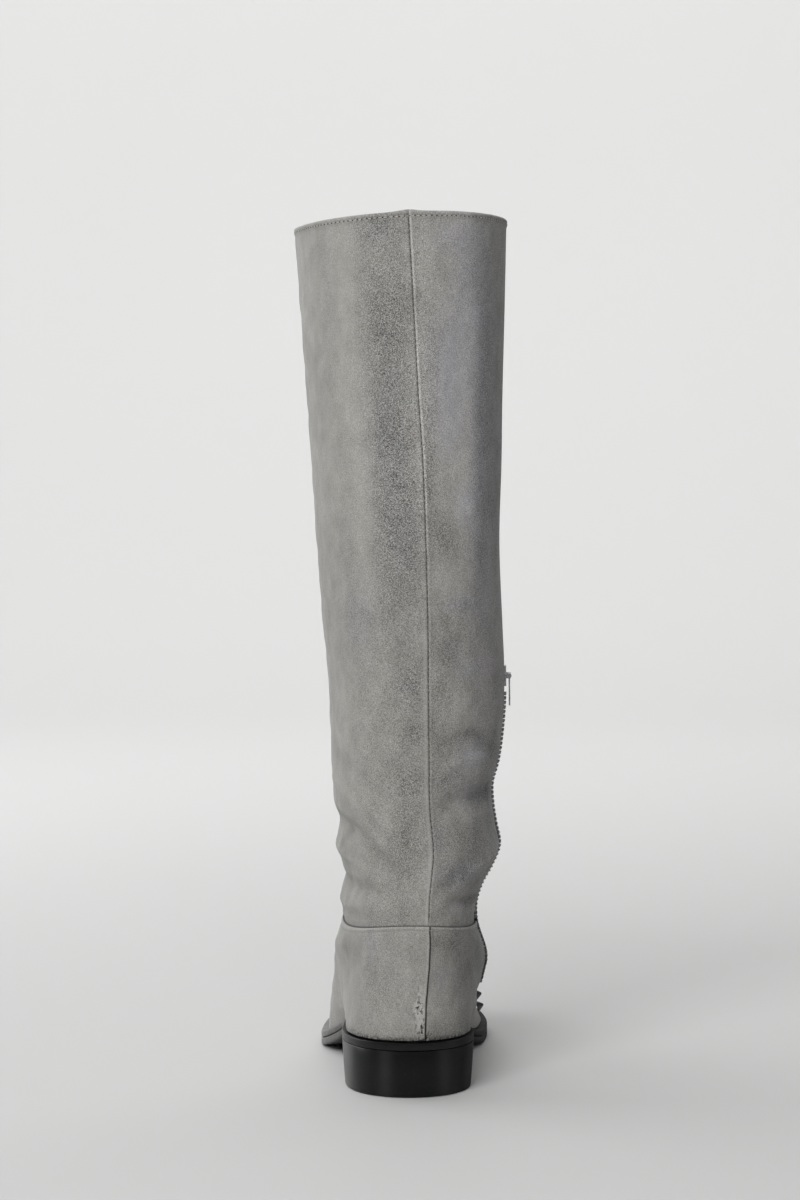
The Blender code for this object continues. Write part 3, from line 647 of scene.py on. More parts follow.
def skin_normal(row, u):
    """Unit vectors pointing out of the skin."""
    step = 0.004
    up = skin(np.minimum(row + step, COLLAR_ROW), u) - skin(np.maximum(row - step, 0), u)
    round_ = skin(row, u + step) - skin(row, u - step)
    normal = np.cross(up, round_)
    return normal / np.linalg.norm(normal, axis=-1, keepdims=True)


def skin_offset(row, u, out):
    """Points at a distance (in millimetres) out from the skin."""
    return skin(row, u) + skin_normal(row, u) * (np.asarray(out) * MM)[..., None]


def zip_reach(row, width):
    """Half of a width across the zip, as a step round the boot."""
    step = 0.01
    speed = np.linalg.norm(skin(row, ZIP_U + step) - skin(row, ZIP_U - step), axis=-1) / (2 * step)
    return width * MM / 2 / speed


def back_seam(row):
    """Place round the boot of the back seam."""
    return smooth_through(column(BACK_SEAM, 0), column(BACK_SEAM, 1), row)


def signed_place(u):
    """Place round the boot between -1 and 1."""
    return np.mod(np.asarray(u, float) + 1.0, 2.0) - 1.0


def bell(distance, width):
    return np.exp(-((distance / width) ** 2))


def below_ankle(row):
    """Distance in millimetres below the upper's top edge."""
    return (SEAM_ROW - row) * ANKLE_ROW_HEIGHT


def below_collar(row):
    """Distance in millimetres below the collar's edge."""
    return (COLLAR_ROW - row) * COLLAR_ROW_HEIGHT


def crease_relief(row, u):
    """Height in millimetres of the listed creases."""
    points = skin(row, u)
    relief = np.zeros(points.shape[:-1])
    for height, width, path in CREASES:
        at = np.linspace(0, len(path) - 1, CREASE_SAMPLES)
        places = smooth_through(range(len(path)), column(path, 0), at)
        rows = smooth_through(range(len(path)), column(path, 1), at)
        line = skin(rows, places)
        fades = np.sin(np.linspace(*CREASE_ENDS, CREASE_SAMPLES) * math.pi) ** CREASE_FADE
        nearest = np.full(relief.shape, np.inf)
        fade = np.zeros(relief.shape)
        for point, strength in zip(line, fades):
            distance = np.linalg.norm(points - point, axis=-1)
            closer = distance < nearest
            nearest = np.where(closer, distance, nearest)
            fade = np.where(closer, strength, fade)
        share = (nearest / MM / width) ** 2
        relief += height * fade * (1 - CREASE_SHOULDER * share) * np.exp(-share)
    return relief


def wave_relief(row, u):
    """Low unevenness of worn leather."""
    up = skin(row, u)[..., 2] / MM
    turn = math.tau
    relief = np.zeros(up.shape)
    for height, long_up, long_round, phase in WAVES:
        bend = np.sin(turn * signed_place(u) * ROUND_SPEED / long_round + phase)
        relief += height * np.sin(turn * up / long_up + phase + WAVE_BEND * bend)
    return relief * (1 - WAVE_CALM * bell(signed_place(u), WAVE_CALM_WIDTH))


def seam_relief(row, u):
    """Groove of the back seam with a soft ridge on each side."""
    side = (signed_place(u) - back_seam(row)) * SEAM_SPEED
    ridge = SEAM_RIDGE * bell(np.abs(side) - SEAM_RIDGE_AT, SEAM_RIDGE_WIDTH)
    depth = np.where(row < SEAM_ROW, HEEL_SEAM_DEPTH, SEAM_DEPTH)
    return ridge - depth * bell(side, SEAM_WIDTH)


def edge_relief(below, band, stitch):
    """A folded edge: a thicker band with a sunken stitch line, by distance below the edge."""
    thick = band * (1 - ease((below - COLLAR_BAND_REACH) / COLLAR_BAND_FADE + 0.5))
    return thick - STITCH_SINK * bell(below - stitch, STITCH_SINK_WIDTH)


def relief(row, u):
    """How far the dressed leather stands out of the plain skin, in millimetres."""
    row, u = np.broadcast_arrays(np.asarray(row, float), np.asarray(u, float))
    from_zip = np.abs(signed_place(u) - signed_place(ZIP_U))
    free = ease((from_zip - ZIP_FREE) / ZIP_FREE_RAMP)
    above = row - SEAM_ROW
    seam_free = np.where(above < 0, ease(-above / BELOW_RAMP), ease((above - ABOVE_FREE) / ABOVE_RAMP))
    out = (crease_relief(row, u) + wave_relief(row, u)) * free * seam_free
    out += seam_relief(row, u) * np.where(above < 0, 1.0, ease(above / SEAM_RAMP))
    collar = edge_relief(below_collar(row), COLLAR_BAND, COLLAR_STITCH)
    ankle = edge_relief(below_ankle(row), 0.0, ANKLE_STITCH)
    ankle += ANKLE_RIM * bell(below_ankle(row) - ANKLE_RIM_WIDTH, ANKLE_RIM_WIDTH)
    return out + np.where(row > COLLAR_ROW - 1, collar, 0.0) + np.where(row <= SEAM_ROW, ankle, 0.0)


def lap_offset(row):
    """The shaft's foot tucks inside the upper and comes out to the skin above the ankle seam."""
    heights = column(SHAFT_ROWS, 1)
    above = smooth_through(range(SEAM_ROW, COLLAR_ROW + 1), heights, row) - heights[0]
    return -(WALL * SKIVE + LAP_GAP) * (1 - ease(above / LAP_RAMP))


def round_edge(distance, share):
    """Inset of a rounded leather edge at a distance from it, and the share of the wall left there."""
    radius = share * WALL / 2
    reach = np.clip(radius - np.asarray(distance, float), 0.0, radius)
    inset = radius - np.sqrt(radius**2 - reach**2)
    return inset, np.clip(share - 2 * inset / WALL, 0.05, 1.0)


# Mesh helpers
def new_object(name, points, faces, materials, smooth_angle=40):
    mesh = bpy.data.meshes.new(name)
    mesh.from_pydata(np.asarray(points).tolist(), [], faces)
    obj = bpy.data.objects.new(name, mesh)
    bpy.context.scene.collection.objects.link(obj)
    for mat in materials:
        mesh.materials.append(mat)
    mesh.shade_smooth()
    if smooth_angle is not None:
        mesh.set_sharp_from_angle(angle=math.radians(smooth_angle))
    return obj


def dress(obj, slot, *nodes, body="boot"):
    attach(obj, body)
    if nodes:
        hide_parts(*nodes)


def grid_faces(rings, count):
    """Quads of a grid of closed rings, as an array."""
    ring = np.arange(rings - 1)[:, None] * count
    j = np.arange(count)[None, :]
    k = (j + 1) % count
    return np.stack([ring + j, ring + count + j, ring + count + k, ring + k], axis=-1).reshape(-1, 4)


def tube_faces(rings, count):
    """The same quads with a cap at each end."""
    total = rings * count
    caps = [list(range(count)), list(range(total - 1, total - count - 1, -1))]
    return grid_faces(rings, count).tolist() + caps


def set_values(mesh, name, values):
    """A number at each vertex, for the materials to read."""
    attribute = mesh.attributes.new(name, "FLOAT", "POINT")
    attribute.data.foreach_set("value", np.asarray(values, np.float32).ravel())


# Node helpers
class Nodes:
    """Short ways to add and link shader nodes of one material."""

    def __init__(self, name):
        self.material = bpy.data.materials.new(name)
        self.material.use_nodes = True
        self.tree = self.material.node_tree
        self.shader = self.tree.nodes["Principled BSDF"]

    def add(self, kind, **settings):
        node = self.tree.nodes.new(kind)
        for key, value in settings.items():
            setattr(node, key, value)
        return node

    def put(self, value, socket):
        if isinstance(value, bpy.types.NodeSocket):
            self.tree.links.new(value, socket)
        else:
            socket.default_value = value

    def fill(self, node, **sockets):
        """Sets or links sockets by name, with a low line for each space in a name."""
        for key, value in sockets.items():
            self.put(value, node.inputs[key.replace("_", " ")])

    def math(self, operation, a, b=0.0, clamp=False):
        node = self.add("ShaderNodeMath", operation=operation, use_clamp=clamp)
        self.put(a, node.inputs[0])
        self.put(b, node.inputs[1])
        return node.outputs[0]

    def mix(self, share, a, b):
        node = self.add("ShaderNodeMix", data_type="RGBA")
        self.fill(node, Factor=share, A=a, B=b)
        return node.outputs["Result"]

    def value(self, name):
        """A number kept at the vertices."""
        return self.add("ShaderNodeAttribute", attribute_name=name).outputs["Fac"]

    def place(self, stretch=(1, 1, 1)):
        node = self.add("ShaderNodeMapping")
        self.fill(node, Vector=self.add("ShaderNodeTexCoord").outputs["Object"], Scale=stretch)
        return node.outputs["Vector"]

    def axis(self, name):
        """One coordinate of the place on the piece."""
        node = self.add("ShaderNodeSeparateXYZ")
        self.fill(node, Vector=self.place())
        return node.outputs[name]

    def noise(self, scale, detail=2.0, rough=0.5, stretch=(1, 1, 1)):
        node = self.add("ShaderNodeTexNoise")
        self.fill(node, Vector=self.place(stretch), Scale=scale, Detail=detail, Roughness=rough)
        return node.outputs["Fac"]

    def spread(self, value, low, high, to_low=0.0, to_high=1.0):
        """Moves a value from one range to another."""
        node = self.add("ShaderNodeMapRange", clamp=True)
        self.fill(node, Value=value, From_Min=low, From_Max=high, To_Min=to_low, To_Max=to_high)
        return node.outputs["Result"]

    def bump(self, height, strength, distance, **under):
        node = self.add("ShaderNodeBump")
        self.fill(node, Height=height, Strength=strength, Distance=distance, **under)
        return node.outputs["Normal"]

    def finish(self, **sockets):
        self.fill(self.shader, **sockets)
        return self.material


# Materials
def suede_shade(n):
    """The suede's mottled grey with violet areas and the tone values, which carry painted shade and
    highlights, before speckle and wear.
    """
    broad = n.spread(n.noise(24.0, 3.0, 0.55, (1, 1, 0.45)), 0.3, 0.7, -0.09, 0.09)
    blotch = n.spread(n.noise(110.0, 3.0, 0.6, (1, 1, 0.7)), 0.3, 0.7, -0.12, 0.12)
    grain = n.spread(n.noise(2000.0, 2.0, 0.7), 0.34, 0.66, -0.75, 0.75)
    grain = n.math("MULTIPLY", grain, n.math("ADD", n.math("MULTIPLY", n.value("speckle"), 0.8), 0.2))
    tone = n.math("ADD", n.math("ADD", broad, blotch), n.math("ADD", grain, n.value("tone")))
    lit = n.add("ShaderNodeVectorMath", operation="SCALE")
    hue = n.mix(n.math("MULTIPLY", n.value("violet"), 0.75), SUEDE_GREY, SUEDE_VIOLET)
    n.put(hue, lit.inputs[0])
    n.fill(lit, Scale=n.math("ADD", tone, 1.0))
    return lit.outputs[0]


def suede_material():
    """Brushed suede: fine dark speckle, torn fibres, flecks, rubbed-off dye with painted shade at the
    heel's seat, dark seams with a painted shade line in the ankle lap, and a soft nap.
    """
    n = Nodes("grey suede")
    speckle = n.value("speckle")
    dots = n.spread(n.noise(1900.0, 1.0, 0.5), 0.58, 0.64)
    flecks = n.spread(n.noise(1000.0, 1.0, 0.5), 0.62, 0.70)
    rub = n.spread(n.noise(430.0, 3.0, 0.7, (1, 1, 0.6)), 0.40, 0.50)
    holes = n.spread(n.noise(520.0, 2.0, 0.6, (1.2, 1, 0.8)), 0.53, 0.58)
    smear = n.spread(n.noise(850.0, 3.0, 0.65), 0.38, 0.62)
    colour = suede_shade(n)
    for pattern, amount, mark in (
        (dots, n.math("ADD", n.math("MULTIPLY", speckle, 0.75), 0.08), SPECKLE_DARK),
        (flecks, n.math("MULTIPLY", speckle, 0.4), FLECK_DARK),
        (rub, n.value("torn"), TORN_LIGHT),
        (holes, n.value("worn"), WORN_DARK),
        # rubbed-off dye above the sole, with painted shade at the heel's seat
        (smear, n.value("dye_and_seat_shade"), DYE_AND_SHADE_DARK),
    ):
        colour = n.mix(n.math("MULTIPLY", pattern, amount, clamp=True), colour, mark)
    # dark seams, and painted shade in the ankle lap
    colour = n.mix(n.value("seam_dark_and_lap_shade"), colour, SEAM_BLACK)
    nap = n.bump(n.noise(2600.0, 2.0, 0.6), 0.45, 0.0003)
    pile = n.bump(n.noise(420.0, 3.0, 0.6), 0.35, 0.0006, Normal=nap)
    return n.finish(Base_Color=colour, Normal=pile, Roughness=0.95, Specular_IOR_Level=0.12,
                    Sheen_Weight=0.18, Sheen_Roughness=0.45, Sheen_Tint=SHEEN)


def lining_material():
    n = Nodes("lining leather")
    tone = n.spread(n.noise(60.0, 3.0), 0.3, 0.7)
    colour = n.mix(tone, *LINING_TONES)
    pores = n.bump(n.noise(1600.0, 2.0), 0.2, 0.0002)
    return n.finish(Base_Color=colour, Normal=pores, Roughness=0.6)


def polish_parts(name):
    """Nodes of a waxed black surface: its fine marks, and a roughness that rises on the medial side."""
    n = Nodes(name)
    uneven = n.spread(n.noise(110.0, 2.0, 0.5, (1.0, 1.0, 0.15)), 0.3, 0.7, -0.04, 0.05)
    dull = n.spread(n.axis("X"), DULL_START * MM, DULL_END * MM, *ROUGHNESS)
    rough = n.math("ADD", uneven, dull)
    marks = n.bump(n.noise(500.0, 2.0, 0.5), 0.05, 0.0002)
    return n, rough, marks


def heel_material():
    """Black polished heel with painted reflection streaks."""
    n, rough, marks = polish_parts("polished heel")
    dust = n.spread(n.noise(900.0, 2.0, 0.6), 0.55, 0.75, 0.0, 0.12)
    shade = n.mix(dust, HEEL_BLACK, POLISH_DUST)
    # painted reflection: lighter streaks where the lights would show in the polish
    shade = n.mix(n.value("painted_reflection"), shade, HEEL_REFLECTION_GREY)
    return n.finish(Base_Color=shade, Normal=marks, Roughness=rough, Specular_IOR_Level=0.20)


def sole_material():
    """Black waxed sole edge, with dust and a painted sheen on the lateral side of the forefoot."""
    n, rough, marks = polish_parts("polished sole edge")
    ahead = n.spread(n.axis("Y"), 0.02, 0.09)
    lateral = n.math("MULTIPLY", ahead, n.spread(n.axis("X"), -0.028, -0.042))
    # dust and painted sheen, lighter on the lateral side of the forefoot
    dust_and_sheen = n.math("MULTIPLY", lateral, n.spread(n.noise(260.0, 3.0, 0.6), 0.3, 0.7, 0.35, 0.75))
    shade = n.mix(dust_and_sheen, HEEL_BLACK, SOLE_DUST_AND_SHEEN)
    return n.finish(Base_Color=shade, Normal=marks, Roughness=rough, Specular_IOR_Level=0.28)


def cloth_material():
    n = Nodes("zip tape cloth")
    weave = n.add("ShaderNodeTexWave", wave_type="BANDS", bands_direction="Z")
    n.fill(weave, Vector=n.place(), Scale=420.0, Distortion=1.5)
    colour = n.mix(weave.outputs["Fac"], *CLOTH_TONES)
    ribs = n.bump(weave.outputs["Fac"], 0.4, 0.0002)
    return n.finish(Base_Color=colour, Normal=ribs, Roughness=0.85)


def metal_material(name, colour, roughness):
    n = Nodes(name)
    wear = n.noise(420.0, 3.0, 0.6)
    shade = n.mix(n.spread(wear, 0.45, 0.7), (*colour, 1), tuple(2.2 * c for c in colour) + (1,))
    rough = n.spread(wear, 0.3, 0.7, roughness - 0.08, roughness + 0.08)
    return n.finish(Base_Color=shade, Roughness=rough, Metallic=0.92)


def thread_material(name, colour):
    n = Nodes(name)
    twist = n.noise(3000.0, 1.0, 0.5)
    shade = n.mix(twist, tuple(0.8 * c for c in colour) + (1,), (*colour, 1))
    return n.finish(Base_Color=shade, Roughness=0.85)


def floor_material():
    n = Nodes("pale studio floor")
    far = n.spread(n.axis("Y"), FLOOR_TONE_START, FLOOR_TONE_END)
    colour = n.mix(far, FLOOR_TONE, BACKDROP_TONE)
    return n.finish(Base_Color=colour, Roughness=0.6, Specular_IOR_Level=0.2)


# Leather pieces
def column_places(rows):
    """Places round the boot for each row: columns on the back seam and on the zip slot's edges."""
    rows = np.asarray(rows)
    middle = float(signed_place(ZIP_U))
    even = np.linspace(-1.0, 1.0, ROUND_STEPS, endpoint=False)
    clear = (np.abs(even) > SEAM_CLEAR) & (np.abs(even - middle) > ZIP_CLEAR)
    base = np.sort(np.concatenate([even[clear], np.array(SEAM_COLUMNS) / SEAM_SPEED]))
    places = base + back_seam(rows)[:, None] * (1 - ease(np.abs(base) / SEAM_FADE))
    reach = zip_reach(rows, ZIP_SLOT)
    beside = [zip_reach(rows, ZIP_SLOT + 2 * extra) for extra in EDGE_COLUMNS]
    steps = [-beside[1], -beside[0], -reach, reach, beside[0], beside[1]]
    zip_columns = middle + np.stack(steps, axis=1)
    split = int(np.searchsorted(base, middle))
    return np.concatenate([places[:, :split], zip_columns, places[:, split:]], axis=1), split + 2


def edge_distance(shape, slot_column, in_slot):
    """Distance from the zip slot's edges, large elsewhere."""
    distance = np.full(shape, 99.0)
    for step, away in enumerate((0.0,) + EDGE_COLUMNS):
        for j in (slot_column - step, slot_column + 1 + step):
            distance[in_slot, j] = away
    return distance


def patch_sums(u, height):
    """Tone, speckle and violet from the listed patches."""
    sums = [np.zeros(u.shape) for _ in range(3)]
    for place, at, half_round, half_up, *strengths in PATCHES:
        weight = bell((u - place) * SEAM_SPEED, half_round * PATCH_SOFT_ROUND)
        weight *= bell(height - at, half_up * PATCH_SOFT_UP)
        for total, strength in zip(sums, strengths):
            total += strength * weight
    return sums


def smooth_side(u):
    """1 on the smoother lateral part of the leather, 0 elsewhere."""
    return ease((GRAIN_SMOOTH_REACH - np.abs(u - GRAIN_SMOOTH_AT)) / GRAIN_SMOOTH_FADE)


def scuff_values(u, height):
    """Strength of the light torn fibres and of the dark flecks in the scuffs."""
    torn = np.zeros(u.shape)
    worn = np.zeros(u.shape)
    for place, at, half_round, half_up, light, dark in SCUFFS:
        weight = bell((u - place) * SEAM_SPEED, half_round) * bell(height - at, half_up)
        torn = np.maximum(torn, light * weight)
        worn = np.maximum(worn, dark * weight)
    return torn, worn


def dye_and_shade_values(row, u, height):
    """Black dye rubbed off onto the suede just above the sole's edge, with painted shade reaching higher
    where the heel's seat stands away on the lateral side.
    """
    low = skin(0 * row, u)[..., 2] / MM
    reach = DYE_HEIGHT + SEAT_GAP_SHADE * bell(u - SEAT_GAP_SHADE_AT, SEAT_GAP_SHADE_WIDTH)
    return np.clip(DYE_AND_SHADE_STRENGTH * bell(height - low, reach) * bell(u, DYE_AND_SHADE_BACK), 0, 1)


def edge_tones(row):
    """Painted highlight on the collar's rim and painted shade along its sunken stitch line."""
    rim = COLLAR_RIM_HIGHLIGHT * bell(below_collar(row), COLLAR_RIM_WIDTH)
    return rim + COLLAR_STITCH_SHADE * bell(below_collar(row) - COLLAR_STITCH, COLLAR_LINE_WIDTH)


def leather_values(obj, row, u, points, is_upper):
    """Numbers at the vertices that the suede's material reads."""
    u = signed_place(u)
    height = points[..., 2] / MM
    tone, speckle, violet = patch_sums(u, height)
    torn, worn = scuff_values(u, height)
    side = (u - back_seam(row)) * SEAM_SPEED
    strip = bell(side - SEAM_STRIP_AT, SEAM_STRIP_WIDTH) * ease(SEAM_TURN_ROW - row)
    line = bell(side + SEAM_LIGHT_AT, SEAM_LIGHT_WIDTH) * ease(row - SEAM_TURN_ROW)
    # painted shade in crease troughs and painted highlights on crease ridges, with the collar's painted
    # light
    tone = tone + CREASE_PAINTED_LIGHT * crease_relief(row, u) + edge_tones(row)
    tone = tone + SEAM_LIGHT * line + SEAM_STRIP * strip
    grain = np.where(row < SEAM_ROW, FOOT_GRAIN, GRAIN_BASE)
    speckle = speckle + grain * (1 - smooth_side(u)) - grain * strip
    if is_upper:
        # painted highlight on the upper's rolled-out top edge
        tone = tone + ANKLE_RIM_HIGHLIGHT * bell(below_ankle(row) - ANKLE_RIM_WIDTH, ANKLE_RIM_WIDTH)
        dark = HEEL_SEAM_DARK * bell(side, HEEL_SEAM_WIDTH)
    else:
        # painted shade line in the lap above the upper's top edge
        lap = ANKLE_LAP_SHADE * bell(below_ankle(row), ANKLE_LINE_WIDTH)
        dark = np.maximum(LEG_SEAM_DARK * bell(side, LEG_SEAM_WIDTH), lap)
    for name, values in (
        ("tone", tone),
        ("speckle", np.clip(speckle, 0, 1)),
        ("violet", np.clip(violet, 0, 1)),
        ("torn", torn),
        ("worn", worn),
        ("dye_and_seat_shade", dye_and_shade_values(row, u, height)),
        ("seam_dark_and_lap_shade", dark),
    ):
        set_values(obj.data, name, values)


def leather_tube(name, rows, outs, wall_share, slot, from_edge, materials):
    """A dressed leather tube through rings, with rounded edges and the zip's slot left open."""
    rows = np.asarray(rows)
    u, slot_column = column_places(rows)
    row = np.repeat(rows[:, None], u.shape[1], axis=1)
    in_slot = (rows > slot[0] - 1e-6) & (rows < slot[1] + 1e-6)
    distance = np.minimum(edge_distance(u.shape, slot_column, in_slot), from_edge[:, None])
    inset, left = round_edge(distance, np.repeat(wall_share[:, None], u.shape[1], axis=1))
    points = skin_offset(row, u, relief(row, u) + outs[:, None] - inset)
    peak = SEAM_PEAK * bell((signed_place(u) - back_seam(row)) * SEAM_SPEED, SEAM_PEAK_WIDTH)
    points[..., 2] += peak * ease((row - COLLAR_ROW) / SEAM_PEAK_ROWS + 1) * MM
    faces = grid_faces(len(rows), u.shape[1]).reshape(len(rows) - 1, -1, 4)
    middles = (rows[:-1] + rows[1:]) / 2
    keep = np.ones(faces.shape[:2], bool)
    keep[(middles > slot[0]) & (middles < slot[1]), slot_column] = False
    obj = new_object(name, points.reshape(-1, 3), faces[keep].tolist(), materials, smooth_angle=None)
    leather_values(obj, row, u, points, is_upper=rows[0] == 0)
    group = obj.vertex_groups.new(name="wall left")
    for weight in np.unique(left):
        group.add(np.flatnonzero(left.ravel() == weight).tolist(), float(weight), "REPLACE")
    wall = obj.modifiers.new("wall", "SOLIDIFY")
    wall.thickness = WALL * MM
    wall.offset = -1.0
    wall.vertex_group = group.name
    wall.material_offset = 1
    wall.material_offset_rim = 0
    return obj


def rows_with(rows, *extra):
    """Rows with the nearest inner ones moved onto rows that have to be met."""
    rows = np.array(rows)
    for row in extra:
        rows[1 + np.argmin(np.abs(rows[1:-1] - row))] = row
    return np.unique(rows)


def make_upper(suede, lining):
    top = SEAM_ROW - np.array(ANKLE_STEPS) / ANKLE_ROW_HEIGHT
    body = np.linspace(0, top.min(), UPPER_STEPS, endpoint=False)
    rows = rows_with(np.concatenate([body, top]), ZIP_BOTTOM_ROW)
    below = below_ankle(rows)
    share = SKIVE + (1 - SKIVE) * ease((below - SKIVE_REACH) / SKIVE_RAMP)
    slot = (ZIP_BOTTOM_ROW, SEAM_ROW)
    upper = leather_tube("suede_upper", rows, 0 * rows, share, slot, below, (suede, lining))
    dress(upper, "suede", "upper")


def make_shaft(suede, lining):
    lap = SEAM_ROW - LAP_ROWS
    heights = column(SHAFT_ROWS, 1)
    even = np.linspace(heights[0], heights[-1], SHAFT_STEPS)
    table = np.linspace(SEAM_ROW, COLLAR_ROW, PATH_STEPS)
    body = np.interp(even, smooth_through(range(SEAM_ROW, COLLAR_ROW + 1), heights, table), table)
    collar = COLLAR_ROW - np.array(COLLAR_STEPS) / COLLAR_ROW_HEIGHT
    body = body[body < collar.min() - COLLAR_CLEAR]
    line = SEAM_ROW + np.array(LINE_STEPS) / ANKLE_ROW_HEIGHT
    body = body[body > line.max() + LINE_CLEAR]
    rows = rows_with(np.concatenate([[lap, (lap + SEAM_ROW) / 2], line, body, collar]), ZIP_TOP_ROW)
    slot = (0, ZIP_TOP_ROW)
    share = np.ones(len(rows))
    shaft = leather_tube(
        "suede_shaft", rows, lap_offset(rows), share, slot, below_collar(rows), (suede, lining)
    )
    dress(shaft, "suede", "shaft")


# Stitches
def unit_stitch():
    """A piece of thread, one long and rounded at its ends, lying along X."""
    turns = np.linspace(0, math.tau, STITCH_SIDES, endpoint=False)
    ends = np.linspace(-1, 1, STITCH_RINGS)
    thick = np.sqrt(1 - STITCH_TAPER * ends**2)
    points = [(x / 2, r * math.cos(t), r * math.sin(t)) for x, r in zip(ends, thick) for t in turns]
    return np.array(points), tube_faces(STITCH_RINGS, STITCH_SIDES)


def path_length(points):
    """Length in millimetres along a path up to each of its points."""
    return np.concatenate([[0.0], np.cumsum(np.linalg.norm(np.diff(points, axis=0), axis=1))]) / MM


def along_path(rows, places, out, pitch, start=0.0):
    """Evenly spaced points on the dressed leather, with the path's and the skin's directions."""
    points = skin_offset(rows, places, relief(rows, places) + out)
    run = path_length(points)
    wanted = np.arange(start + pitch / 2, run[-1], pitch)
    behind, spots, ahead = (
        np.stack([np.interp(wanted + step, run, points[:, i]) for i in range(3)], axis=-1)
        for step in (-PATH_AHEAD, 0.0, PATH_AHEAD)
    )
    normals = skin_normal(np.interp(wanted, run, rows), np.interp(wanted, run, places))
    return spots, ahead - behind, normals


def repeat_faces(faces, corners, times):
    """Faces of a shape repeated in one mesh, with so many corners each time."""
    return [[corner + step * corners for corner in face] for step in range(times) for face in faces]


def place_copies(shape, spots, axes):
    """Points of a shape in millimetres, copied to spots with three axes at each."""
    moved = sum(shape[None, :, i, None] * axis[:, None, :] for i, axis in enumerate(axes))
    return (spots[:, None, :] + moved * MM).reshape(-1, 3)


def stitch_line(name, path, length, radius, mat):
    """Stitches along a path as one joined mesh."""
    spots, along, normals = path
    along = along / np.linalg.norm(along, axis=-1, keepdims=True)
    shape, faces = unit_stitch()
    points = place_copies(
        shape * np.array([length, radius, radius]), spots, (along, np.cross(normals, along), normals)
    )
    stitches = new_object(name, points, repeat_faces(faces, len(shape), len(spots)), (mat,))
    dress(stitches, "suede")


def make_edge_stitches(pale, grey, black):
    """Stitches round the collar, with their needle holes, and round the upper's top edge."""
    round_ = np.linspace(-1.0, 1.0, PATH_STEPS)
    collar = np.full(PATH_STEPS, COLLAR_ROW - COLLAR_STITCH / COLLAR_ROW_HEIGHT)
    path = along_path(collar, round_, COLLAR_STITCH_OUT, STITCH_PITCH)
    stitch_line("collar_stitches", path, COLLAR_STITCH_LONG, COLLAR_STITCH_THICK, pale)
    path = along_path(collar, round_, HOLE_OUT, STITCH_PITCH, STITCH_PITCH / 2)
    stitch_line("collar_stitch_holes", path, HOLE_LONG, HOLE_THICK, black)
    middle = float(signed_place(ZIP_U))
    gap = float(zip_reach(np.array(SEAM_ROW), ZIP_SLOT + ZIP_STITCH))
    open_round = np.linspace(middle + gap, middle + 2.0 - gap, PATH_STEPS)
    ankle = np.full(PATH_STEPS, SEAM_ROW - ANKLE_STITCH / ANKLE_ROW_HEIGHT)
    path = along_path(ankle, open_round, STITCH_OUT, STITCH_PITCH)
    stitch_line("ankle_stitches", path, STITCH_LONG, STITCH_THICK, grey)


def make_seam_stitches(dark, black):
    """Thread in the back seam of the foot and the leg."""
    for word, ends, thick, mat in (
        ("heel", HEEL_SEAM_ROWS, HEEL_THREAD, black),
        ("leg", LEG_SEAM_ROWS, LEG_THREAD, dark),
    ):
        rows = np.linspace(*ends, PATH_STEPS)
        path = along_path(rows, back_seam(rows), SEAM_STITCH_OUT, SEAM_PITCH)
        stitch_line(f"back_seam_stitches_{word}", path, STITCH_LONG, thick, mat)


def make_zip_stitches(grey):
    """A line of stitches on each side of the zip's slot."""
    for word, sign in (("front", -1), ("rear", 1)):
        for part, ends in (("foot", ZIP_FOOT_ROWS), ("leg", ZIP_LEG_ROWS)):
            rows = np.linspace(*ends, PATH_STEPS)
            places = ZIP_U + sign * zip_reach(rows, ZIP_SLOT + 2 * ZIP_STITCH)
            lap = lap_offset(rows) * (rows > SEAM_ROW)
            path = along_path(rows, places, STITCH_OUT + lap, STITCH_PITCH)
            stitch_line(f"zip_stitches_{word}_{part}", path, STITCH_LONG, STITCH_THICK, grey)


# Sole pieces
def edge_profile():
    """A layer's rounded edge from bottom to top: inset and rise in radii, share of its thickness."""
    turns = np.linspace(0, math.pi / 2, EDGE_STEPS)
    lower = [(1 - math.sin(t), 1 - math.cos(t), 0.0) for t in turns]
    upper = [(inset, -rise, 1.0) for inset, rise, _ in reversed(lower)]
    return lower + upper


def edge_radius(station):
    """Rounding of the sole's edges: small round the heel seat, larger at the forefoot."""
    forward = ease((station - HEEL_BREAST) / (WELT_FULL - HEEL_BREAST))
    return SEAT_RADIUS + (EDGE_RADIUS - SEAT_RADIUS) * forward


def sole_edge(places, inset):
    """Points of the sole's outline moved inwards by a small inset that may follow the station."""
    outer = np.stack(sole_point(places, 0.0))
    inner = np.stack(sole_point(places, 1.0))
    return outer + (inner - outer) * inset


def make_outsole(black):
    """The sole layer with softened edges."""
    half = np.linspace(0, 1, SOLE_STEPS + 1)
    places = np.concatenate([half, 2.0 - half[-2:0:-1]])
    count = len(places)
    points = []
    radius = edge_radius(sole_point(places, 0.0)[1])
    for inset, rise, share in edge_profile():
        x, s = sole_edge(places, inset * radius)
        z = tread_height(s) + OUTSOLE_THICK * share + rise * radius
        points.append(np.stack([x, s - HEEL_CENTRE, z], axis=-1) * MM)
    rings = len(points)
    faces = [[a, d, c, b] for a, b, c, d in grid_faces(rings, count).tolist()]
    for base, flip in ((0, False), ((rings - 1) * count, True)):
        cap = [[0, 1, count - 1], [SOLE_STEPS, SOLE_STEPS + 1, SOLE_STEPS - 1]]
        cap += [[i, i + 1, count - i - 1, count - i] for i in range(1, SOLE_STEPS - 1)]
        for face in cap:
            corners = [base + corner for corner in face]
            faces.append(corners[::-1] if flip else corners)
    sole = new_object("sole_layer", np.concatenate(points), faces, (black,))
    dress(sole, "polished_sole", "outsole")


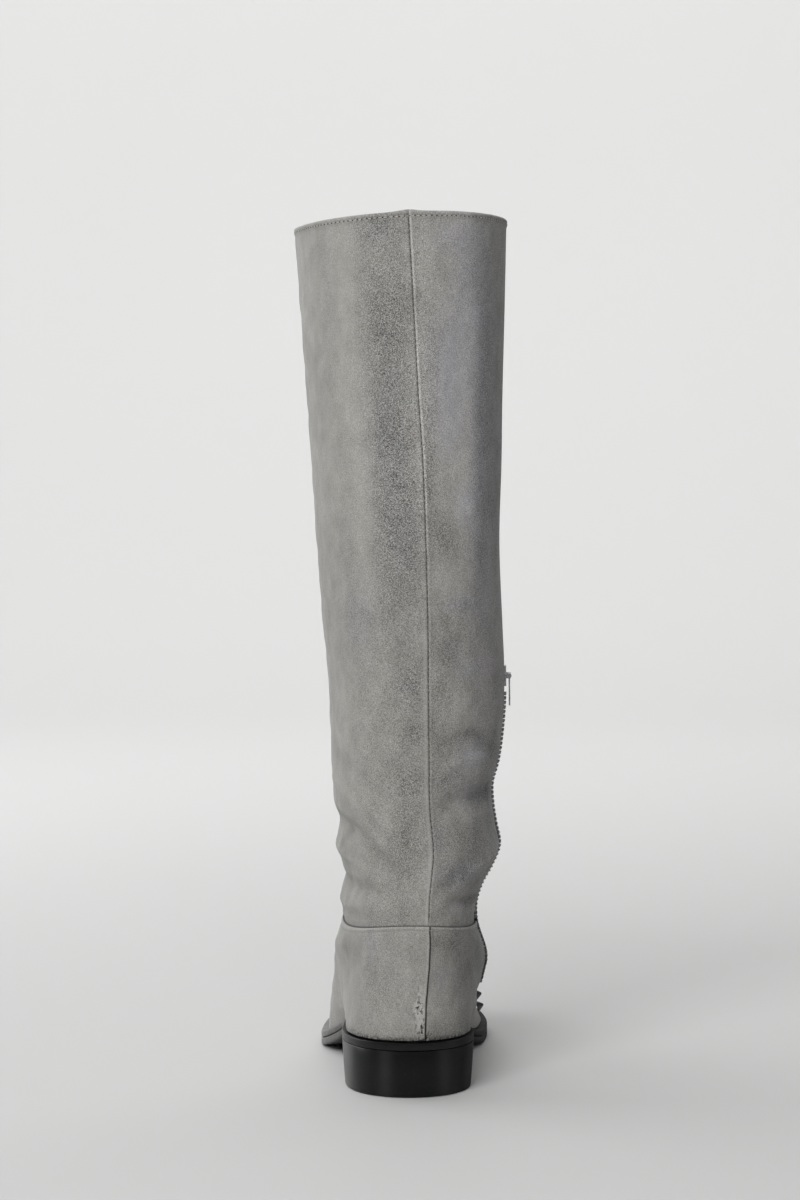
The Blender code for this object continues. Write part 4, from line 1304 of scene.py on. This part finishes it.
def make_welt(black):
    """The welt round the forefoot, with softened edges, thinning out at the waist."""
    first = math.acos(1 - 2 * WELT_START / SOLE_LENGTH) / math.pi
    places = np.linspace(first, 2.0 - first, 2 * SOLE_STEPS)
    edge = [(sole_edge(places, inset * EDGE_RADIUS), rise, share) for inset, rise, share in edge_profile()]
    edge += [(sole_point(places, WELT_REACH), 0.0, share) for share in (1.0, 0.0)]
    points = []
    for (x, s), rise, share in edge:
        thick = welt_height(s) - GAP
        corner = EDGE_RADIUS * np.clip(thick / WELT_THICK, 0, 1)
        z = tread_height(s) + OUTSOLE_THICK + GAP + thick * share + rise * corner
        points.append(np.stack([x, s - HEEL_CENTRE, z], axis=-1) * MM)
    grid = np.stack(points, axis=1).reshape(-1, 3)
    welt = new_object("welt_strip", grid, tube_faces(len(places), len(points)), (black,))
    dress(welt, "polished_sole", "welt")


def make_heel(black):
    """The block heel with softened edges, tapered a little to the floor."""
    first = math.acos(1 - 2 * HEEL_BREAST / SOLE_LENGTH) / math.pi
    places = np.linspace(-first, first, HEEL_STEPS)
    x, s = sole_point(places, 0.0)
    corner = math.radians(45)
    top = HEEL_HEIGHT - GAP
    levels = (
        # height, inset
        (0.0, HEEL_TAPER + HEEL_EDGE),
        (HEEL_EDGE * (1 - math.cos(corner)), HEEL_TAPER + HEEL_EDGE * (1 - math.sin(corner))),
        (HEEL_EDGE, HEEL_TAPER),
        (top / 2, HEEL_TAPER * HEEL_WAIST),
        (top - HEEL_LIP, 0.0),
        (top, HEEL_LIP_INSET),
    )
    points = []
    for height, inset in levels:
        shrink = 1 - inset / HEEL_RADIUS
        points += [(a * shrink * MM, (b - HEEL_CENTRE) * shrink * MM, height * MM) for a, b in zip(x, s)]
    faces = tube_faces(len(levels), len(places))
    heel = new_object("block_heel", points, faces, (black,), smooth_angle=50)
    across = np.array(points)[:, 0] / MM
    # painted reflection streaks, placed across the heel
    painted_reflection = sum(share * bell(across - at, width) for at, width, share in HEEL_REFLECTION_STREAKS)
    flip_outwards(heel)
    set_values(heel.data, "painted_reflection", painted_reflection)
    dress(heel, "polished_heel", "heel")


def flip_outwards(obj):
    """Makes all faces of a closed piece point outwards."""
    work = bmesh.new()
    work.from_mesh(obj.data)
    bmesh.ops.recalc_face_normals(work, faces=work.faces)
    work.to_mesh(obj.data)
    work.free()


# Zip and studs
def zip_frames(rows):
    """Points on the zip's middle line with directions out, across towards the toe, and up."""
    places = np.full(len(rows), ZIP_U)
    spots = skin(rows, places)
    out = skin_normal(rows, places)
    up = skin(rows + ZIP_STEP, places) - skin(rows - ZIP_STEP, places)
    up -= out * np.sum(up * out, axis=-1, keepdims=True)
    up /= np.linalg.norm(up, axis=-1, keepdims=True)
    return spots, out, np.cross(up, out), up


def make_zip_teeth(metal):
    """Two rows of teeth that mesh in the middle."""
    rows = np.linspace(*CHAIN_ROWS, PATH_STEPS)
    run = path_length(skin(rows, np.full(len(rows), ZIP_U)))
    corners = [(top, outer, upper) for top in (0, 1) for outer in (0, 1) for upper in (-0.5, 0.5)]
    top, outer, upper = np.array(corners, float).T
    depth = CHAIN_RISE - TOOTH_DEEP * (1 - top) - TOOTH_SLOPE * (1 - outer) * top
    width = CHAIN_WIDTH / 2 - (CHAIN_WIDTH / 2 + TOOTH_OVERLAP) * (1 - outer)
    tall = TOOTH_TALL * upper * np.where(outer > 0.5, 1.0, TOOTH_TIP)
    points = []
    for sign, shift in ((-1, 0.0), (1, TOOTH_PITCH / 2)):
        at = np.arange(shift + CHAIN_END, run[-1] - CHAIN_END, TOOTH_PITCH)
        spots, *axes = zip_frames(np.interp(at, run, rows))
        points.append(place_copies(np.stack([depth, sign * width, tall], axis=-1), spots, axes))
    points = np.concatenate(points)
    faces = repeat_faces(BOX_FACES, len(corners), len(points) // len(corners))
    teeth = new_object("zip_teeth", points, faces, (metal,), smooth_angle=20)
    flip_outwards(teeth)
    dress(teeth, "zip_metal", "zip_chain")


def make_zip_cord(cloth):
    """The cloth band under the teeth."""
    spots, *axes = zip_frames(np.linspace(*CHAIN_ROWS, CORD_STEPS))
    half = CHAIN_WIDTH / 2
    low = -2 * (WALL + GAP) - TAPE_SLACK + GAP
    shoulder = -CORD_DEPTH - CORD_ROUND
    right = [(low, half), (shoulder, half), (-CORD_DEPTH, half * CORD_FLAT)]
    left = [(depth, -across) for depth, across in reversed(right)]
    ring = np.array([(depth, across, 0.0) for depth, across in right + left])
    cord = new_object(
        "zip_cord", place_copies(ring, spots, axes), tube_faces(len(spots), len(ring)), (cloth,)
    )
    flip_outwards(cord)
    dress(cord, "zip_cloth")


def stud_seats():
    """Rows and places of the studs, evenly spaced along their line over the vamp."""
    at = np.linspace(0, len(STUD_LINE) - 1, STUD_LINE_STEPS)
    places = smooth_through(range(len(STUD_LINE)), column(STUD_LINE, 0), at)
    rows = smooth_through(range(len(STUD_LINE)), column(STUD_LINE, 1), at)
    run = path_length(skin(rows, places))
    wanted = np.linspace(0, run[-1], STUD_COUNT)
    return np.interp(wanted, run, rows), np.interp(wanted, run, places)


def make_studs(metal):
    """Turned pointed studs, one on each seat."""
    turns = np.linspace(0, math.tau, STUD_SIDES, endpoint=False)
    shape = [(r * math.cos(t), r * math.sin(t), h) for r, h in STUD_PROFILE[:-1] for t in turns]
    shape.append((0.0, 0.0, STUD_PROFILE[-1][1]))
    rings = len(STUD_PROFILE) - 1
    faces = grid_faces(rings, STUD_SIDES).tolist()
    faces.append(list(range(STUD_SIDES)))
    last = (rings - 1) * STUD_SIDES
    faces += [[last + j, len(shape) - 1, last + (j + 1) % STUD_SIDES] for j in range(STUD_SIDES)]
    for number, (row, place) in enumerate(zip(*stud_seats()), start=1):
        normal = Vector(skin_normal(row, place))
        seat = Vector(skin(row, place)) + normal * GAP * MM
        turn = normal.to_track_quat("Z", "Y")
        points = [seat + turn @ (Vector(point) * MM) for point in shape]
        stud = new_object(f"pointed_stud_{number}", points, faces, (metal,), smooth_angle=35)
        flip_outwards(stud)
        dress(stud, "stud_metal", f"vamp_stud_{number}")


def paint(node, mat):
    """Gives a solid its finish."""
    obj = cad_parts[node]
    obj.data.materials.clear()
    obj.data.materials.append(mat)
    return obj


def soften(node, mat, radius):
    """Gives a solid its finish and softened edges."""
    obj = paint(node, mat)
    weld = obj.modifiers.new("weld", "WELD")
    weld.merge_threshold = WELD_REACH * MM
    bevel = obj.modifiers.new("soft edges", "BEVEL")
    bevel.width = radius * MM
    bevel.segments = 2
    bevel.limit_method = "ANGLE"
    bevel.angle_limit = math.radians(SOFT_ANGLE)


# Studio
def make_stage(mat):
    """A round floor that curves up into a backdrop on all sides."""
    share = np.linspace(0, 1, SWEEP_STEPS)
    turn = math.pi / 2 * ease(share)
    out = FLOOR_FLAT + np.cumsum(np.cos(turn)) * WALL_SWEEP / SWEEP_STEPS
    up = np.cumsum(np.sin(turn)) * WALL_SWEEP / SWEEP_STEPS
    flat = [(FLOOR_CAP, 0.0), (FLOOR_MIDDLE, 0.0), (FLOOR_FLAT, 0.0)]
    profile = flat + list(zip(out, up)) + [(out[-1], WALL_TOP)]
    around = np.linspace(0, math.tau, STAGE_SIDES, endpoint=False)
    points = [(r * math.cos(t), r * math.sin(t), z - FLOOR_DROP) for r, z in profile for t in around]
    faces = grid_faces(len(profile), STAGE_SIDES).tolist()
    faces.append(list(range(STAGE_SIDES)))
    floor = new_object("floor_and_backdrop", points, faces, (mat,), smooth_angle=None)


def make_lights():
    for name, place, target, size, watts, in_gloss in LIGHTS:
        data = bpy.data.lights.new(name, "AREA")
        data.shape = "RECTANGLE"
        data.size, data.size_y = size
        data.energy = watts
        light = bpy.data.objects.new(name, data)
        bpy.context.scene.collection.objects.link(light)
        light.location = place
        light.rotation_euler = (Vector(target) - Vector(place)).to_track_quat("-Z", "Y").to_euler()
        light.visible_camera = False
        light.visible_glossy = in_gloss
    world = bpy.data.worlds.new("studio")
    world.use_nodes = True
    sky = world.node_tree.nodes["Background"]
    sky.inputs["Color"].default_value = SKY_COLOUR
    sky.inputs["Strength"].default_value = SKY_STRENGTH
    bpy.context.scene.world = world


def make_camera():
    data = bpy.data.cameras.new("photo view")
    data.sensor_width = SENSOR
    data.lens = FOCAL_PIXELS / IMAGE_LONG * SENSOR
    data.clip_start = 0.05
    camera = bpy.data.objects.new("photo view", data)
    bpy.context.scene.collection.objects.link(camera)
    camera.location = CAMERA_PLACE
    camera.rotation_euler = (math.radians(90 - CAMERA_PITCH), 0, math.radians(-CAMERA_YAW))
    bpy.context.scene.camera = camera


def make_boot():
    suede = suede_material()
    lining = lining_material()
    sole_black = sole_material()
    cloth = cloth_material()
    pull_metal = metal_material("pull gunmetal", PULL_METAL, 0.30)
    pale, grey, dark, black = (thread_material(f"{word} thread", colour) for word, colour in THREADS)
    make_upper(suede, lining)
    make_shaft(suede, lining)
    make_edge_stitches(pale, grey, black)
    make_seam_stitches(dark, black)
    make_zip_stitches(grey)
    make_outsole(sole_black)
    make_welt(sole_black)
    make_heel(heel_material())
    make_zip_teeth(metal_material("zip gunmetal", ZIP_METAL, 0.34))
    make_zip_cord(cloth)
    make_studs(metal_material("stud gunmetal", STUD_METAL, 0.34))
    paint("insole", lining)
    paint("zip_tape", cloth)
    soften("zip_slider", pull_metal, SLIDER_EDGE)
    soften("zip_pull", pull_metal, PULL_EDGE)


make_boot()
make_stage(floor_material())
make_lights()
make_camera()
bpy.context.scene.view_settings.view_transform = "Standard"
